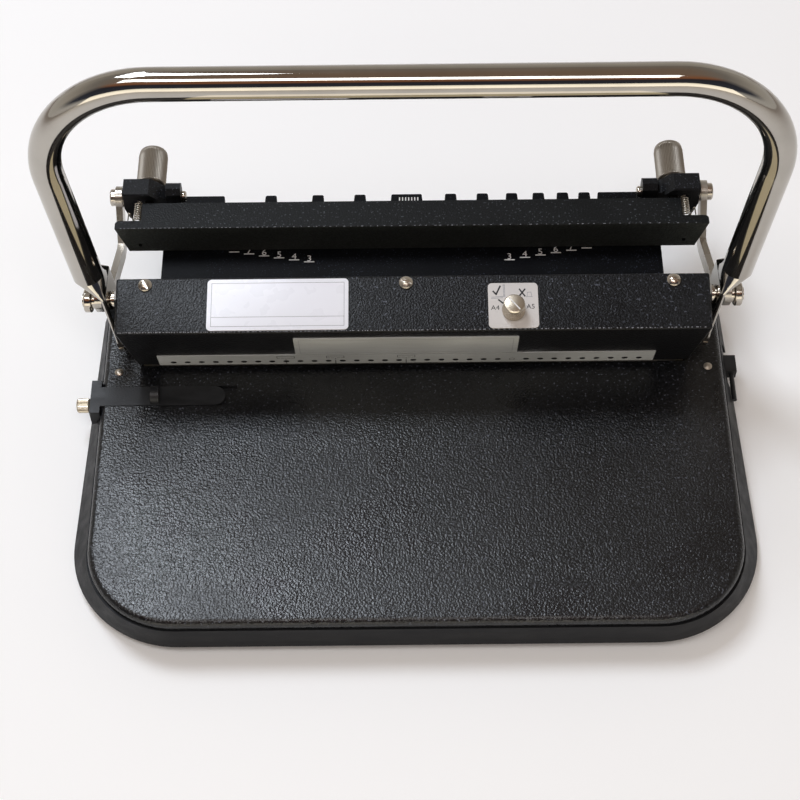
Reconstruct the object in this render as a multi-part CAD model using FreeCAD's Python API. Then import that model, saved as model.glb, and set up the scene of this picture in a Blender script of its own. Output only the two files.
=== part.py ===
import FreeCAD, Part
import math
import os

# Manual wire punch-and-bind machine, millimetres, +Z up, front towards -Y.
# The origin is on the ground, under the middle of the machine.

V = FreeCAD.Vector
X_AXIS = V(1, 0, 0)
Y_AXIS = V(0, 1, 0)
Z_AXIS = V(0, 0, 1)
ORIGIN = V(0, 0, 0)
LEFT = -1
RIGHT = 1
SIDES = {"left": LEFT, "right": RIGHT}
INCH = 25.4

# Shared clearances
GAP = 0.3
RUN = 0.05
SCREW_GAP = 0.1

# Levels, from the ground up
FOOT_H = 5.0
COVER_T = 2.0
BASE_H = 19.0
TABLE_T = 6.0
BASE_Z = FOOT_H + COVER_T
TABLE_UNDER = BASE_Z + BASE_H
TABLE_Z = TABLE_UNDER + TABLE_T

# Table plate
TABLE_W = 375.0
TABLE_DEPTH = 227.0
TABLE_BACK = 75.0
TABLE_FRONT = TABLE_BACK - TABLE_DEPTH
TABLE_CORNER_R = 52.0
TABLE_BACK_R = 6.0
TABLE_EDGE_R = 4.0
TABLE_SCREW_X = 178.0
TABLE_SCREW_Y = 18.0
TABLE_SCREW_D = 3.0
TABLE_SCREW_HEAD_D = 5.2
TABLE_SCREW_HEAD_H = 1.4

# Base moulding under the table
BASE_LIP = 1.0
FLARE_FRONT = 13.0
FLARE_BACK = 5.5
FLARE_NOSE = 1.5
BASE_BACK_STEP = 3.0
BASE_WALL = 3.0
COVER_INSET = 1.5
FOOT_D = 22.0
FOOT_STEM_D = 7.0
FOOT_X = 160.0
FOOT_FRONT_Y = -118.0
FOOT_BACK_Y = 58.0

# Hole pattern of the wire: three holes to the inch along an A4 long edge
HOLE_COUNT = 34
HOLE_PITCH = INCH / 3
HOLE_OFFSET_X = -4.3
PUNCH_D = 4.0

# Handle pivot and link pin
PIVOT_Y = 38.2
PIVOT_RISE = 16.5
PIVOT_Z = TABLE_Z + PIVOT_RISE
HANDLE_SWING = 60.0
LINK_PIN_DY = -1.2
LINK_PIN_DZ = 31.5
LINK_PIN_Y = PIVOT_Y + LINK_PIN_DY
LINK_PIN_Z = PIVOT_Z + LINK_PIN_DZ

# Handle tube
TUBE_D = 18.0
TUBE_WALL = 1.5
ARM_LEAN = 2.0
ARM_SPLAY = 6.2
ARM_LEN = 206.4
BEND_R = 62.0
SPADE_W = 27.0
SPADE_T = 3.0
SPADE_LEN = 43.5
CRUSH_LEN = 9.5
SPADE_OFFSET = (TUBE_D - SPADE_T) / 2
SPADE_HOOD_GAP = 2.8
SPADE_PLAY = 0.6

# Side frames and pivot bushes: the frames place everything outboard of them
FRAME_X = 158.5
FRAME_T = 5.0
BUSH_D = 14.0
BUSH_FLANGE_D = 18.0
BUSH_FLANGE_T = 1.5

# Stub crank inside the hood, one each side
SHAFT_D = 10.0
CRANK_R = 8.0
CRANK_ARM_T = 5.0
CRANK_FRAME_GAP = 1.0
CRANK_ARM_X = FRAME_X - CRANK_FRAME_GAP - CRANK_ARM_T
CRANK_HUB_D = 14.0
CRANK_BOSS_D = 11.0
CRANK_PIN_D = 6.0
SPIGOT_D = 8.0
SPIGOT_HEAD_D = 9.5
SPIGOT_HEAD_T = 1.8

# Die, paper stop and punch guide
PUNCH_PIVOT_STEP = 7.5
DIE_FRONT_MARGIN = 8.2
DIE_BACK_MARGIN = 10.8
PUNCH_Y = PIVOT_Y - PUNCH_PIVOT_STEP
DIE_NECK_FRONT = PUNCH_Y - DIE_FRONT_MARGIN
DIE_NECK_BACK = PUNCH_Y + DIE_BACK_MARGIN
DIE_FOOT_OUT = 7.0
DIE_FOOT_H = 7.0
DIE_HOLE_GAP = 0.05
HOLE_MARGIN = 4.2
THROAT = 2.5
STOP_W = 6.0
GUIDE_H = 8.5
GUIDE_FRONT_MARGIN = 6.7
GUIDE_FRONT = PUNCH_Y - GUIDE_FRONT_MARGIN
GUIDE_HALF = 146.5
GUIDE_CHAMFER = 2.0
GUIDE_SCREW_D = 3.0
GUIDE_SCREW_X = 134.0
GUIDE_SCREW_HEAD_D = 5.0
GUIDE_SCREW_HEAD_H = 2.0

# Punch bar, yokes and pins
PUNCH_BAR_W = 12.0
PUNCH_BAR_H = 10.0
PUNCH_BAR_LIFT = 27.0
PUNCH_HEAD_D = 6.4
PUNCH_HEAD_H = 2.0
PUNCH_TIP_LIFT = 3.0
CAP_H = 6.0
YOKE_T = 4.0
YOKE_DROP = 16.0
YOKE_FRONT_MARGIN = 6.7
YOKE_BACK_MARGIN = 8.8
YOKE_FRONT = PUNCH_Y - YOKE_FRONT_MARGIN
YOKE_BACK = PUNCH_Y + YOKE_BACK_MARGIN
YOKE_PLAY = 0.35
YOKE_CRANK_GAP = 0.7

# Hood over the punch
HOOD_WALL = 1.5
HOOD_SIDE_GAP = 2.5
HOOD_SPREAD = 6.5
HOOD_HALF_FOOT = FRAME_X + FRAME_T + HOOD_SIDE_GAP
HOOD_HALF_TOP = HOOD_HALF_FOOT + HOOD_SPREAD
HOOD_LIP = 4.5
HOOD_LIP_Y = 20.5
HOOD_TOP_FRONT_Y = 5.5
HOOD_TOP_FRONT_H = 57.0
HOOD_TOP_BACK_Y = 41.5
HOOD_TOP_BACK_H = 63.0
HOOD_BACK_Y = 44.0
HOOD_EDGE_R = 1.2
HOOD_SCREW_XS = (-156.0, -4.0, 152.0)
HOOD_SCREW_IN = 5.0
HOOD_SCREW_D = 4.0
HOOD_SCREW_LEN = 6.0
HOOD_SCREW_HEAD_D = 8.0
HOOD_SCREW_HEAD_H = 2.6
HOOD_SCREW_SLOT_W = 1.1
HOOD_SCREW_SLOT_H = 1.1
TIE_FRONT_Y = 29.0
TIE_BACK_Y = 39.3
TIE_DROP = 5.0

# Plates on the hood
PLATE_T = 0.6
STRIP_L = 297.0
STRIP_H = 16.0
STRIP_UP = 0.6
STRIP_HOLE_D = 3.6
STRIP_HOLE_UP = 4.8
HOLE_COUNT_BEFORE_BLANK = 24
NAMEPLATE_L = 131.5
NAMEPLATE_H = 28.0
PLATE_SPACE = 0.7
INFO_L = 82.0
INFO_H = 33.0
INFO_X = -78.5
INFO_UP = 1.6
DIAL_SIZE = 29.0
DIAL_X = 58.0
DIAL_UP = 1.4
PLATE_CORNER_R = 2.5

# Selector knob on the dial plate
KNOB_UP = 12.0
SEL_KNOB_D = 13.5
SEL_KNOB_H = 10.0
SEL_KNOB_LIFT = 0.3
SEL_EDGE = 0.8
SEL_SHAFT_D = 5.0
SEL_SHAFT_LEN = 11.0
SEL_COLLAR_D = 9.0
SEL_COLLAR_T = 1.5
SEL_FINGER_L = 8.0
SEL_FINGER_W = 4.0
SEL_FINGER_T = 2.0

# Wire closer floor with its size gauge
FLOOR_RISE = 26.0
FLOOR_T = 3.0
FLOOR_UNDER_BLOCK = 2.5
FLOOR_HOOD_GAP = 0.8
FLOOR_FRONT_Y = HOOD_BACK_Y + FLOOR_HOOD_GAP
FLOOR_BACK_Y = 133.5
FLOOR_Z = TABLE_Z + FLOOR_RISE
GAUGE_LEFT = (16, 14, 12, 10)
GAUGE_RIGHT = (9, 8, 7, 6, 5, 4, 3)
GAUGE_START = -116.0
GAUGE_TOOTH = 8.8
GAUGE_CENTRE_TOOTH = 21.0
GAUGE_DEPTH = 13.0
GAUGE_FLARE = 1.0
GAUGE_TIP_R = 1.2
RISER_IN = 43.0
RISER_W = 30.0
RISER_FRONT_Y = 50.0
RISER_BACK_Y = 72.0
RISER_T = 4.0
RISER_SCREW_D = 5.0
RISER_SCREW_HEAD_D = 9.0
RISER_SCREW_HEAD_H = 3.0
RISER_SCREW_SPACING = 16.0

# Links from the handle to the blocks: the rear runs beside the block, the front outside the handle's end
LINK_HOOD_GAP = 4.7
LINK_X = HOOD_HALF_TOP + LINK_HOOD_GAP
LINK_T = 4.0
LINK_STEP = 4.8
LINK_FRONT_X = LINK_X + LINK_STEP
LINK_BEND_FRONT_Y = 50.0
LINK_BEND_BACK_Y = 92.0
LINK_W = 10.0
LINK_EYE_D = 14.0
BLOCK_PIN_Y = 118.2
BLOCK_PIN_RISE = 44.0
BLOCK_PIN_Z = TABLE_Z + BLOCK_PIN_RISE
LINK_SHOULDER_Y = 62.0
LINK_SHOULDER_RISE = 26.0
LINK_DIP_Y = 98.0
LINK_DIP_RISE = 21.5
LINK_PIN_D = 8.0
LINK_SLOT_PLAY = 0.5
LINK_PIN_INNER_HEAD_D = 11.0
LINK_PIN_INNER_HEAD_T = 1.2
LINK_WASHER_D = 10.0
LINK_WASHER_T = 2.2
LINK_PIN_HEAD_D = 14.5
LINK_PIN_HEAD_T = 4.8
LINK_PIN_NUB_T = 0.9

# Closer blocks that carry the jaw
BLOCK_LINK_GAP = 1.2
BLOCK_OUTER_X = LINK_X - BLOCK_LINK_GAP
BLOCK_W = 25.5
BLOCK_INNER_X = BLOCK_OUTER_X - BLOCK_W
BLOCK_FRONT_Y = 110.8
BLOCK_BACK_Y = 124.4
BLOCK_RISE = 33.0
BLOCK_H = 22.0
BLOCK_FLAT_W = 15.6
BLOCK_SLOPE_W = 7.0
BLOCK_SLOPE_DROP = 6.0
BLOCK_SADDLE_DROP = 7.5
BLOCK_TAPER_W = 2.5
BLOCK_TAPER_H = 9.0
BLOCK_EDGE = 0.8
ARCH_DEPTH = 3.2
ARCH_H = 17.0
ARCH_LEG_FOOT_W = 4.0
ARCH_LEG_W = 6.0
ARCH_CORNER = 2.0
BLOCK_PIN_DEPTH = 5.5
BLOCK_PIN_WASHER_D = 12.0
BLOCK_PIN_HEAD_D = 10.5
BLOCK_PIN_HEAD_T = 3.4
LUG_W = 9.2
LUG_INNER_X = BLOCK_INNER_X - LUG_W
LUG_FRONT_Y = 114.4
LUG_H = 20.0
LUG_CHAMFER = 3.0
CLAW_LEG_T = 6.5
CLAW_LIP_W = 6.0
CLAW_LIP_T = 4.5
CLAW_GAP = 0.4
LUG_SCREW_D = 4.0
LUG_SCREW_HEAD_D = 7.0
LUG_SCREW_HEAD_T = 3.0
LUG_SCREW_LEN = 6.0

# Closing jaw
JAW_FRONT_Y = 89.5
JAW_GAP = 1.4
JAW_H = 21.6
JAW_OVERHANG = 3.8
JAW_HALF = BLOCK_OUTER_X + JAW_OVERHANG
JAW_BEVEL = 6.5
JAW_FACE_T = 6.2
JAW_TOP_T = 2.0
JAW_TOP_W = 19.8
JAW_TOP_STEP = 15.6
JAW_TOP_HALF = JAW_HALF - JAW_TOP_STEP
JAW_HOLE_D = 2.6
JAW_HOLE_IN = 13.8
JAW_HOLE_UP = 5.7
JAW_EDGE_R = 0.8
JAW_CORNER_R = 2.5

# Adjusting stud, spring and knob
STUD_IN = 15.3
STUD_X = BLOCK_OUTER_X - STUD_IN
STUD_RISE = 43.6
STUD_Z = TABLE_Z + STUD_RISE
STUD_D = 6.0
JAW_FORWARD = 6.0
JAW_BACKWARD = 1.0
STUD_GRIP = 8.0
STUD_IN_KNOB = JAW_FORWARD + STUD_GRIP
SPRING_WIRE = 0.7
SPRING_MEAN_D = 4.2
SPRING_TURNS = 8
SPRING_BEND = 1.25 * SPRING_WIRE
SPRING_IN = 9.0
SPRING_X = BLOCK_OUTER_X - SPRING_IN
SPRING_RISE = 46.0
SPRING_Z = TABLE_Z + SPRING_RISE
KNOB_D = 18.0
KNOB_L = 28.8
KNOB_BORE_SPARE = 4.0
KNOB_BORE = STUD_IN_KNOB + JAW_BACKWARD + KNOB_BORE_SPARE
KNOB_EDGE = 1.0
KNOB_NECK_D = 14.0
KNOB_NECK_L = 2.0

# Side guide with its thumbscrew, at the left edge
GUIDE_BAR_FRONT = -6.2
GUIDE_BAR_BACK = 7.2
GUIDE_BAR_END_X = -113.0
GUIDE_SLOT_END_X = -106.0
GUIDE_SLOT_DEPTH = 3.0
GUIDE_BAR_PROUD = 0.4
GUIDE_BLOCK_T = 5.0
GUIDE_BLOCK_W = 23.0
GUIDE_BLOCK_DROP = 12.0
GUIDE_STOP_X = -152.5
GUIDE_STOP_T = 5.0
GUIDE_STOP_D = 12.0
GUIDE_STOP_RISE = 6.0
THUMB_D = 8.8
THUMB_L = 8.0
THUMB_NECK_D = 6.0
THUMB_NECK_L = 1.4
THUMB_SHAFT_D = 4.0
THUMB_SINK = 4.0

# Chip tray under the die
TRAY_LEFT_X = -150.0
TRAY_RIGHT_X = 186.0
TRAY_FRONT_Y = 17.0
TRAY_BACK_Y = 45.0
TRAY_LIFT = 0.3
TRAY_WALL = 1.4
TRAY_HEAD = 0.5
PULL_FRONT_Y = 24.5
PULL_BACK_Y = 36.5
PULL_LOW_Z = 10.0
PULL_HIGH_Z = 17.0
PULL_OUT_X = 198.5
PULL_ROD_D = 3.0
PULL_ROD_END_Y = 5.5


# Shape helpers

def block(x0, x1, y0, y1, z0, z1):
    return Part.makeBox(x1 - x0, y1 - y0, z1 - z0, V(x0, y0, z0))


def rod_x(x0, x1, y, z, diameter):
    low = min(x0, x1)
    return Part.makeCylinder(diameter / 2, abs(x1 - x0), V(low, y, z), X_AXIS)


def rod_y(y0, y1, x, z, diameter):
    return Part.makeCylinder(diameter / 2, y1 - y0, V(x, y0, z), Y_AXIS)


def rod_z(z0, z1, x, y, diameter):
    return Part.makeCylinder(diameter / 2, z1 - z0, V(x, y, z0), Z_AXIS)


def prism_x(points, x0, x1):
    corners = [V(x0, y, z) for y, z in points]
    face = Part.Face(Part.makePolygon(corners + corners[:1]))
    return face.extrude(V(x1 - x0, 0, 0))


def prism_y(points, y0, y1):
    corners = [V(x, y0, z) for x, z in points]
    face = Part.Face(Part.makePolygon(corners + corners[:1]))
    return face.extrude(V(0, y1 - y0, 0))


def prism_z(points, z0, z1):
    corners = [V(x, y, z0) for x, y in points]
    face = Part.Face(Part.makePolygon(corners + corners[:1]))
    return face.extrude(V(0, 0, z1 - z0))


def rounded_outline(corners, radii, z):
    # Closed wire through the corners, each rounded by its own radius.
    points = [V(x, y, z) for x, y in corners]
    count = len(points)
    starts = []
    edges = []
    for i, corner in enumerate(points):
        back = (points[i - 1] - corner).normalize()
        ahead = (points[(i + 1) % count] - corner).normalize()
        half = back.getAngle(ahead) / 2
        reach = radii[i] / math.tan(half)
        middle = corner + (back + ahead).normalize() * (radii[i] / math.sin(half) - radii[i])
        starts.append((corner + back * reach, middle, corner + ahead * reach))
    for i, (first, middle, last) in enumerate(starts):
        edges.append(Part.Arc(first, middle, last).toShape())
        edges.append(Part.LineSegment(last, starts[(i + 1) % count][0]).toShape())
    return Part.Wire(edges)


def on_slope(shape, y, z, angle):
    # Puts a shape drawn flat at the origin onto a plane tilted about X.
    moved = shape.copy()
    moved.Placement = FreeCAD.Placement(V(0, y, z), FreeCAD.Rotation(X_AXIS, angle))
    return moved


def mirrored(shape, side):
    if side == RIGHT:
        return shape
    return shape.mirror(ORIGIN, X_AXIS)


def joined(first, others):
    return first.fuse(others).removeSplitter()


def hole_xs():
    first = HOLE_OFFSET_X - (HOLE_COUNT - 1) / 2 * HOLE_PITCH
    return [first + i * HOLE_PITCH for i in range(HOLE_COUNT)]


# Base, cover, feet and table

def base_outline(z, inset):
    # The skirt widens from the table's edge to the ground.
    drop = (TABLE_UNDER - z) / BASE_H
    half = TABLE_W / 2 + BASE_LIP - inset
    front = TABLE_FRONT - BASE_LIP - (FLARE_NOSE - BASE_LIP) * drop + inset
    back = TABLE_BACK + BASE_LIP + BASE_BACK_STEP * drop - inset
    wide = half + FLARE_FRONT * drop
    narrow = half + FLARE_BACK * drop
    corners = [(wide, front), (narrow, back), (-narrow, back), (-wide, front)]
    front_r = TABLE_CORNER_R + FLARE_FRONT * drop - inset
    back_r = TABLE_BACK_R
    return rounded_outline(corners, [front_r, back_r, back_r, front_r], z)


def base_loft(z0, z1, inset):
    return Part.makeLoft([base_outline(z0, inset), base_outline(z1, inset)], True, True)


def tray_mouth():
    return block(0, TABLE_W, TRAY_FRONT_Y - GAP, TRAY_BACK_Y + GAP, BASE_Z, TRAY_TOP_Z + GAP)


def make_base_moulding():
    outer = base_loft(BASE_Z, TABLE_UNDER, 0)
    inner = base_loft(BASE_Z, TABLE_UNDER, BASE_WALL)
    thumb_boss = rod_x(-TABLE_W / 2 - BASE_LIP, -TABLE_W / 2 + THUMB_SINK + BASE_WALL,
                       guide_mid_y(), THUMB_HOLE_Z, THUMB_SHAFT_D + 2 * BASE_WALL)
    boss = thumb_boss.common(base_loft(BASE_Z, TABLE_UNDER, 0))
    hole = rod_x(-TABLE_W, -TABLE_W / 2 + THUMB_SINK, guide_mid_y(), THUMB_HOLE_Z, THUMB_SHAFT_D + 2 * RUN)
    return joined(outer.cut(inner), [boss]).cut([tray_mouth(), hole])


def make_bottom_cover():
    outline = base_outline(BASE_Z, COVER_INSET)
    plate = Part.Face(outline).extrude(V(0, 0, -COVER_T))
    stems = [rod_z(FOOT_H, BASE_Z, x, y, FOOT_STEM_D) for x, y in foot_places()]
    return plate.cut(stems)


def foot_places():
    return [(sx * FOOT_X, y) for sx in (LEFT, RIGHT) for y in (FOOT_FRONT_Y, FOOT_BACK_Y)]


def make_rubber_feet():
    feet = []
    for x, y in foot_places():
        pad = rod_z(0, FOOT_H, x, y, FOOT_D)
        pad = pad.makeChamfer(COVER_INSET, [e for e in pad.Edges if e.BoundBox.ZMax < 0.1 and e.Closed])
        feet.append(joined(pad, [rod_z(FOOT_H, BASE_Z, x, y, FOOT_STEM_D)]))
    return feet


def table_outline(z):
    half = TABLE_W / 2
    corners = [(half, TABLE_FRONT), (half, TABLE_BACK), (-half, TABLE_BACK), (-half, TABLE_FRONT)]
    radii = [TABLE_CORNER_R, TABLE_BACK_R, TABLE_BACK_R, TABLE_CORNER_R]
    return rounded_outline(corners, radii, z)


def make_table_plate():
    plate = Part.Face(table_outline(TABLE_UNDER)).extrude(V(0, 0, TABLE_T))
    rim = [e for e in plate.Edges if e.BoundBox.ZMin > TABLE_Z - 0.1]
    plate = plate.makeFillet(TABLE_EDGE_R, rim)
    die_slot = block(-FRAME_X - FRAME_T - GAP, FRAME_X + FRAME_T + GAP,
                     DIE_NECK_FRONT - GAP, DIE_NECK_BACK + GAP, TABLE_UNDER, TABLE_Z)
    guide_slot = block(-TABLE_W / 2, GUIDE_SLOT_END_X, GUIDE_BAR_FRONT - GAP, GUIDE_BAR_BACK + GAP,
                       TABLE_Z - GUIDE_SLOT_DEPTH, TABLE_Z)
    drills = [rod_z(TABLE_UNDER, TABLE_Z, s * TABLE_SCREW_X, TABLE_SCREW_Y, TABLE_SCREW_D + 2 * SCREW_GAP)
              for s in (LEFT, RIGHT)]
    drills += [rod_z(TABLE_UNDER, TABLE_Z, x, y, RISER_SCREW_D + 2 * SCREW_GAP)
               for x, y in riser_screw_places()]
    return plate.cut([die_slot, guide_slot] + drills)


def screw_z(x, y, z, shank_d, depth, head_d, head_h):
    shank = rod_z(z - depth, z, x, y, shank_d)
    head = rod_z(z, z + head_h, x, y, head_d)
    top = [e for e in head.Edges if e.BoundBox.ZMin > z + head_h - 0.05 and e.Closed]
    return joined(head.makeFillet(head_h / 2, top), [shank])


def make_table_screws():
    return [screw_z(s * TABLE_SCREW_X, TABLE_SCREW_Y, TABLE_Z, TABLE_SCREW_D, TABLE_T,
                    TABLE_SCREW_HEAD_D, TABLE_SCREW_HEAD_H) for s in (LEFT, RIGHT)]


# Die, stop, guide and punch

def make_die_block():
    neck = block(-FRAME_X, FRAME_X, DIE_NECK_FRONT, DIE_NECK_BACK, TABLE_UNDER, TABLE_Z)
    foot = block(-FRAME_X, FRAME_X, DIE_NECK_FRONT - DIE_FOOT_OUT, DIE_NECK_BACK + DIE_FOOT_OUT,
                 DIE_Z, TABLE_UNDER)
    holes = [rod_z(DIE_Z, TABLE_Z, x, PUNCH_Y, PUNCH_D + 2 * DIE_HOLE_GAP) for x in hole_xs()]
    holes += [rod_z(TABLE_UNDER, TABLE_Z, x, y, GUIDE_SCREW_D + 2 * SCREW_GAP)
              for x, y in guide_screw_places()]
    return joined(neck, [foot]).cut(holes)


def guide_screw_places():
    y = STOP_Y + STOP_W / 2
    return [(HOLE_OFFSET_X + k * (GUIDE_SCREW_X - abs(HOLE_OFFSET_X)) / 2, y) for k in (-2, -1, 0, 1, 2)]


def make_paper_stop():
    strip = block(-GUIDE_HALF, GUIDE_HALF, STOP_Y, STOP_Y + STOP_W, TABLE_Z, TABLE_Z + THROAT)
    drills = [rod_z(TABLE_Z, TABLE_Z + THROAT, x, y, GUIDE_SCREW_D + 2 * SCREW_GAP)
              for x, y in guide_screw_places()]
    return strip.cut(drills)


def make_punch_guide():
    low = TABLE_Z + THROAT
    profile = [(GUIDE_FRONT + GUIDE_CHAMFER, low), (STOP_Y + STOP_W, low), (STOP_Y + STOP_W, low + GUIDE_H),
               (GUIDE_FRONT, low + GUIDE_H), (GUIDE_FRONT, low + GUIDE_CHAMFER)]
    bar = prism_x(profile, -GUIDE_HALF, GUIDE_HALF)
    holes = [rod_z(low, low + GUIDE_H, x, PUNCH_Y, PUNCH_D + 2 * DIE_HOLE_GAP) for x in hole_xs()]
    holes += [rod_z(low, low + GUIDE_H, x, y, GUIDE_SCREW_D + 2 * SCREW_GAP) for x, y in guide_screw_places()]
    return bar.cut(holes)


def make_guide_screws():
    seat = TABLE_Z + THROAT + GUIDE_H
    depth = seat - TABLE_UNDER - GUIDE_SCREW_HEAD_H
    return [screw_z(x, y, seat, GUIDE_SCREW_D, depth, GUIDE_SCREW_HEAD_D, GUIDE_SCREW_HEAD_H)
            for x, y in guide_screw_places()]


def make_punch_bar():
    bar = block(-YOKE_X, YOKE_X, PUNCH_Y - PUNCH_BAR_W / 2, PUNCH_Y + PUNCH_BAR_W / 2,
                PUNCH_BAR_Z, PUNCH_BAR_Z + PUNCH_BAR_H)
    holes = [rod_z(PUNCH_BAR_Z, PUNCH_BAR_Z + PUNCH_BAR_H, x, PUNCH_Y, PUNCH_D + 2 * DIE_HOLE_GAP)
             for x in hole_xs()]
    return bar.cut(holes)


def make_punch_cap():
    low = PUNCH_BAR_Z + PUNCH_BAR_H
    bar = block(-YOKE_X, YOKE_X, PUNCH_Y - PUNCH_BAR_W / 2, PUNCH_Y + PUNCH_BAR_W / 2, low, low + CAP_H)
    groove = block(-YOKE_X, YOKE_X, PUNCH_Y - PUNCH_HEAD_D / 2 - GAP, PUNCH_Y + PUNCH_HEAD_D / 2 + GAP,
                   low, low + PUNCH_HEAD_H + RUN)
    return bar.cut(groove)


def make_punch_pins():
    seat = PUNCH_BAR_Z + PUNCH_BAR_H
    pins = []
    for x in hole_xs():
        shank = rod_z(TABLE_Z + PUNCH_TIP_LIFT, seat, x, PUNCH_Y, PUNCH_D)
        pins.append(joined(shank, [rod_z(seat, seat + PUNCH_HEAD_H, x, PUNCH_Y, PUNCH_HEAD_D)]))
    return pins


def make_yoke(side):
    low = PUNCH_BAR_Z - YOKE_DROP
    plate = block(YOKE_X, YOKE_X + YOKE_T, YOKE_FRONT, YOKE_BACK, low, PUNCH_BAR_Z + PUNCH_BAR_H + CAP_H)
    half_swing = math.radians(HANDLE_SWING / 2)
    reach_near = CRANK_R * math.cos(half_swing)
    slot_r = CRANK_PIN_D / 2 + YOKE_PLAY
    front = PIVOT_Y - CRANK_R
    back = PIVOT_Y - reach_near
    z = crank_pin_z()
    slot = block(YOKE_X, YOKE_X + YOKE_T, front, back, z - slot_r, z + slot_r)
    ends = [rod_x(YOKE_X, YOKE_X + YOKE_T, y, z, 2 * slot_r) for y in (front, back)]
    return mirrored(plate.cut([slot] + ends), side)


def crank_pin_z():
    return PIVOT_Z + CRANK_R * math.sin(math.radians(HANDLE_SWING / 2))


# Side frames, bushes, tie bar and hood

def make_side_frame(side):
    low_front = DIE_NECK_FRONT
    low_back = DIE_NECK_BACK
    shoulder = PIVOT_Z + BUSH_FLANGE_D / 2
    rear = PIVOT_Y + BUSH_FLANGE_D / 2
    over = TABLE_Z + GAP
    outline = [(low_front, DIE_Z), (low_back, DIE_Z), (low_back, over), (rear, over), (rear, shoulder),
               (TIE_BACK_Y, shoulder), (TIE_BACK_Y, TIE_Z), (TIE_FRONT_Y, TIE_Z),
               (TIE_FRONT_Y, shoulder), (low_front + HOOD_WALL, shoulder), (low_front + HOOD_WALL, over),
               (low_front, over)]
    plate = prism_x(outline, FRAME_X, FRAME_X + FRAME_T)
    bore = rod_x(FRAME_X, FRAME_X + FRAME_T, PIVOT_Y, PIVOT_Z, BUSH_D)
    return mirrored(plate.cut(bore), side)


def make_pivot_bush(side):
    sleeve = rod_x(FRAME_X, FRAME_X + FRAME_T + BUSH_FLANGE_T, PIVOT_Y, PIVOT_Z, BUSH_D)
    flange = rod_x(FRAME_X + FRAME_T, FRAME_X + FRAME_T + BUSH_FLANGE_T, PIVOT_Y, PIVOT_Z, BUSH_FLANGE_D)
    bore = rod_x(FRAME_X, FRAME_X + FRAME_T + BUSH_FLANGE_T, PIVOT_Y, PIVOT_Z, SHAFT_D + 2 * RUN)
    return mirrored(joined(sleeve, [flange]).cut(bore), side)


def hood_top_at(y):
    return HOOD_TOP_FRONT[1] + (y - HOOD_TOP_FRONT[0]) * math.tan(TOP_ANGLE)


def make_hood_tie_bar():
    under = HOOD_WALL / math.cos(TOP_ANGLE)
    outline = [(TIE_FRONT_Y, TIE_Z), (TIE_BACK_Y, TIE_Z),
               (TIE_BACK_Y, hood_top_at(TIE_BACK_Y) - under), (TIE_FRONT_Y, hood_top_at(TIE_FRONT_Y) - under)]
    bar = prism_x(outline, -FRAME_X - FRAME_T, FRAME_X + FRAME_T)
    return bar.cut(hood_screw_rods(HOOD_SCREW_D + 2 * SCREW_GAP, HOOD_WALL + HOOD_SCREW_LEN + GAP))


def hood_screw_rods(diameter, depth):
    rods = [rod_z(-depth, 0, x, TOP_LEN - HOOD_SCREW_IN, diameter) for x in HOOD_SCREW_XS]
    return [on_top(rod) for rod in rods]


def on_top(shape):
    return on_slope(shape, HOOD_TOP_FRONT[0], HOOD_TOP_FRONT[1], math.degrees(TOP_ANGLE))


def on_face(shape):
    return on_slope(shape, HOOD_FOOT[0], HOOD_FOOT[1], math.degrees(FACE_ANGLE))


def inset_corner(before, corner, after, depth):
    # Where the two edges meeting at a corner cross once both move inwards by depth.
    first = (V(corner[0] - before[0], corner[1] - before[1], 0)).normalize()
    second = (V(after[0] - corner[0], after[1] - corner[1], 0)).normalize()
    half = first.getAngle(second) / 2
    inward = V(first.y, -first.x, 0) + V(second.y, -second.x, 0)
    step = inward.normalize() * (depth / math.cos(half))
    return (corner[0] + step.x, corner[1] + step.y)


def hood_solid(inset):
    corners = [HOOD_FOOT, HOOD_TOP_FRONT, HOOD_TOP_BACK, HOOD_BACK_FOOT]
    outline = []
    for i in range(len(corners)):
        outline.append(inset_corner(corners[i - 1], corners[i], corners[(i + 1) % len(corners)], inset))
    lean = (HOOD_HALF_TOP - HOOD_HALF_FOOT) / (HOOD_TOP_FRONT[1] - HOOD_FOOT[1])
    side_inset = inset * math.hypot(1, lean)
    wide = HOOD_HALF_TOP + HOOD_TOP_BACK_H
    body = prism_x(outline, -wide, wide)
    low = HOOD_FOOT[1] - HOOD_TOP_BACK_H
    high = HOOD_TOP_BACK[1] + HOOD_TOP_BACK_H
    left_low = HOOD_HALF_FOOT - side_inset + (low - HOOD_FOOT[1]) * lean
    left_high = HOOD_HALF_FOOT - side_inset + (high - HOOD_FOOT[1]) * lean
    corners = [V(-left_low, -wide, low), V(left_low, -wide, low), V(left_high, -wide, high),
               V(-left_high, -wide, high)]
    between = Part.Face(Part.makePolygon(corners + corners[:1])).extrude(V(0, 2 * wide, 0))
    return body.common(between)


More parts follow.
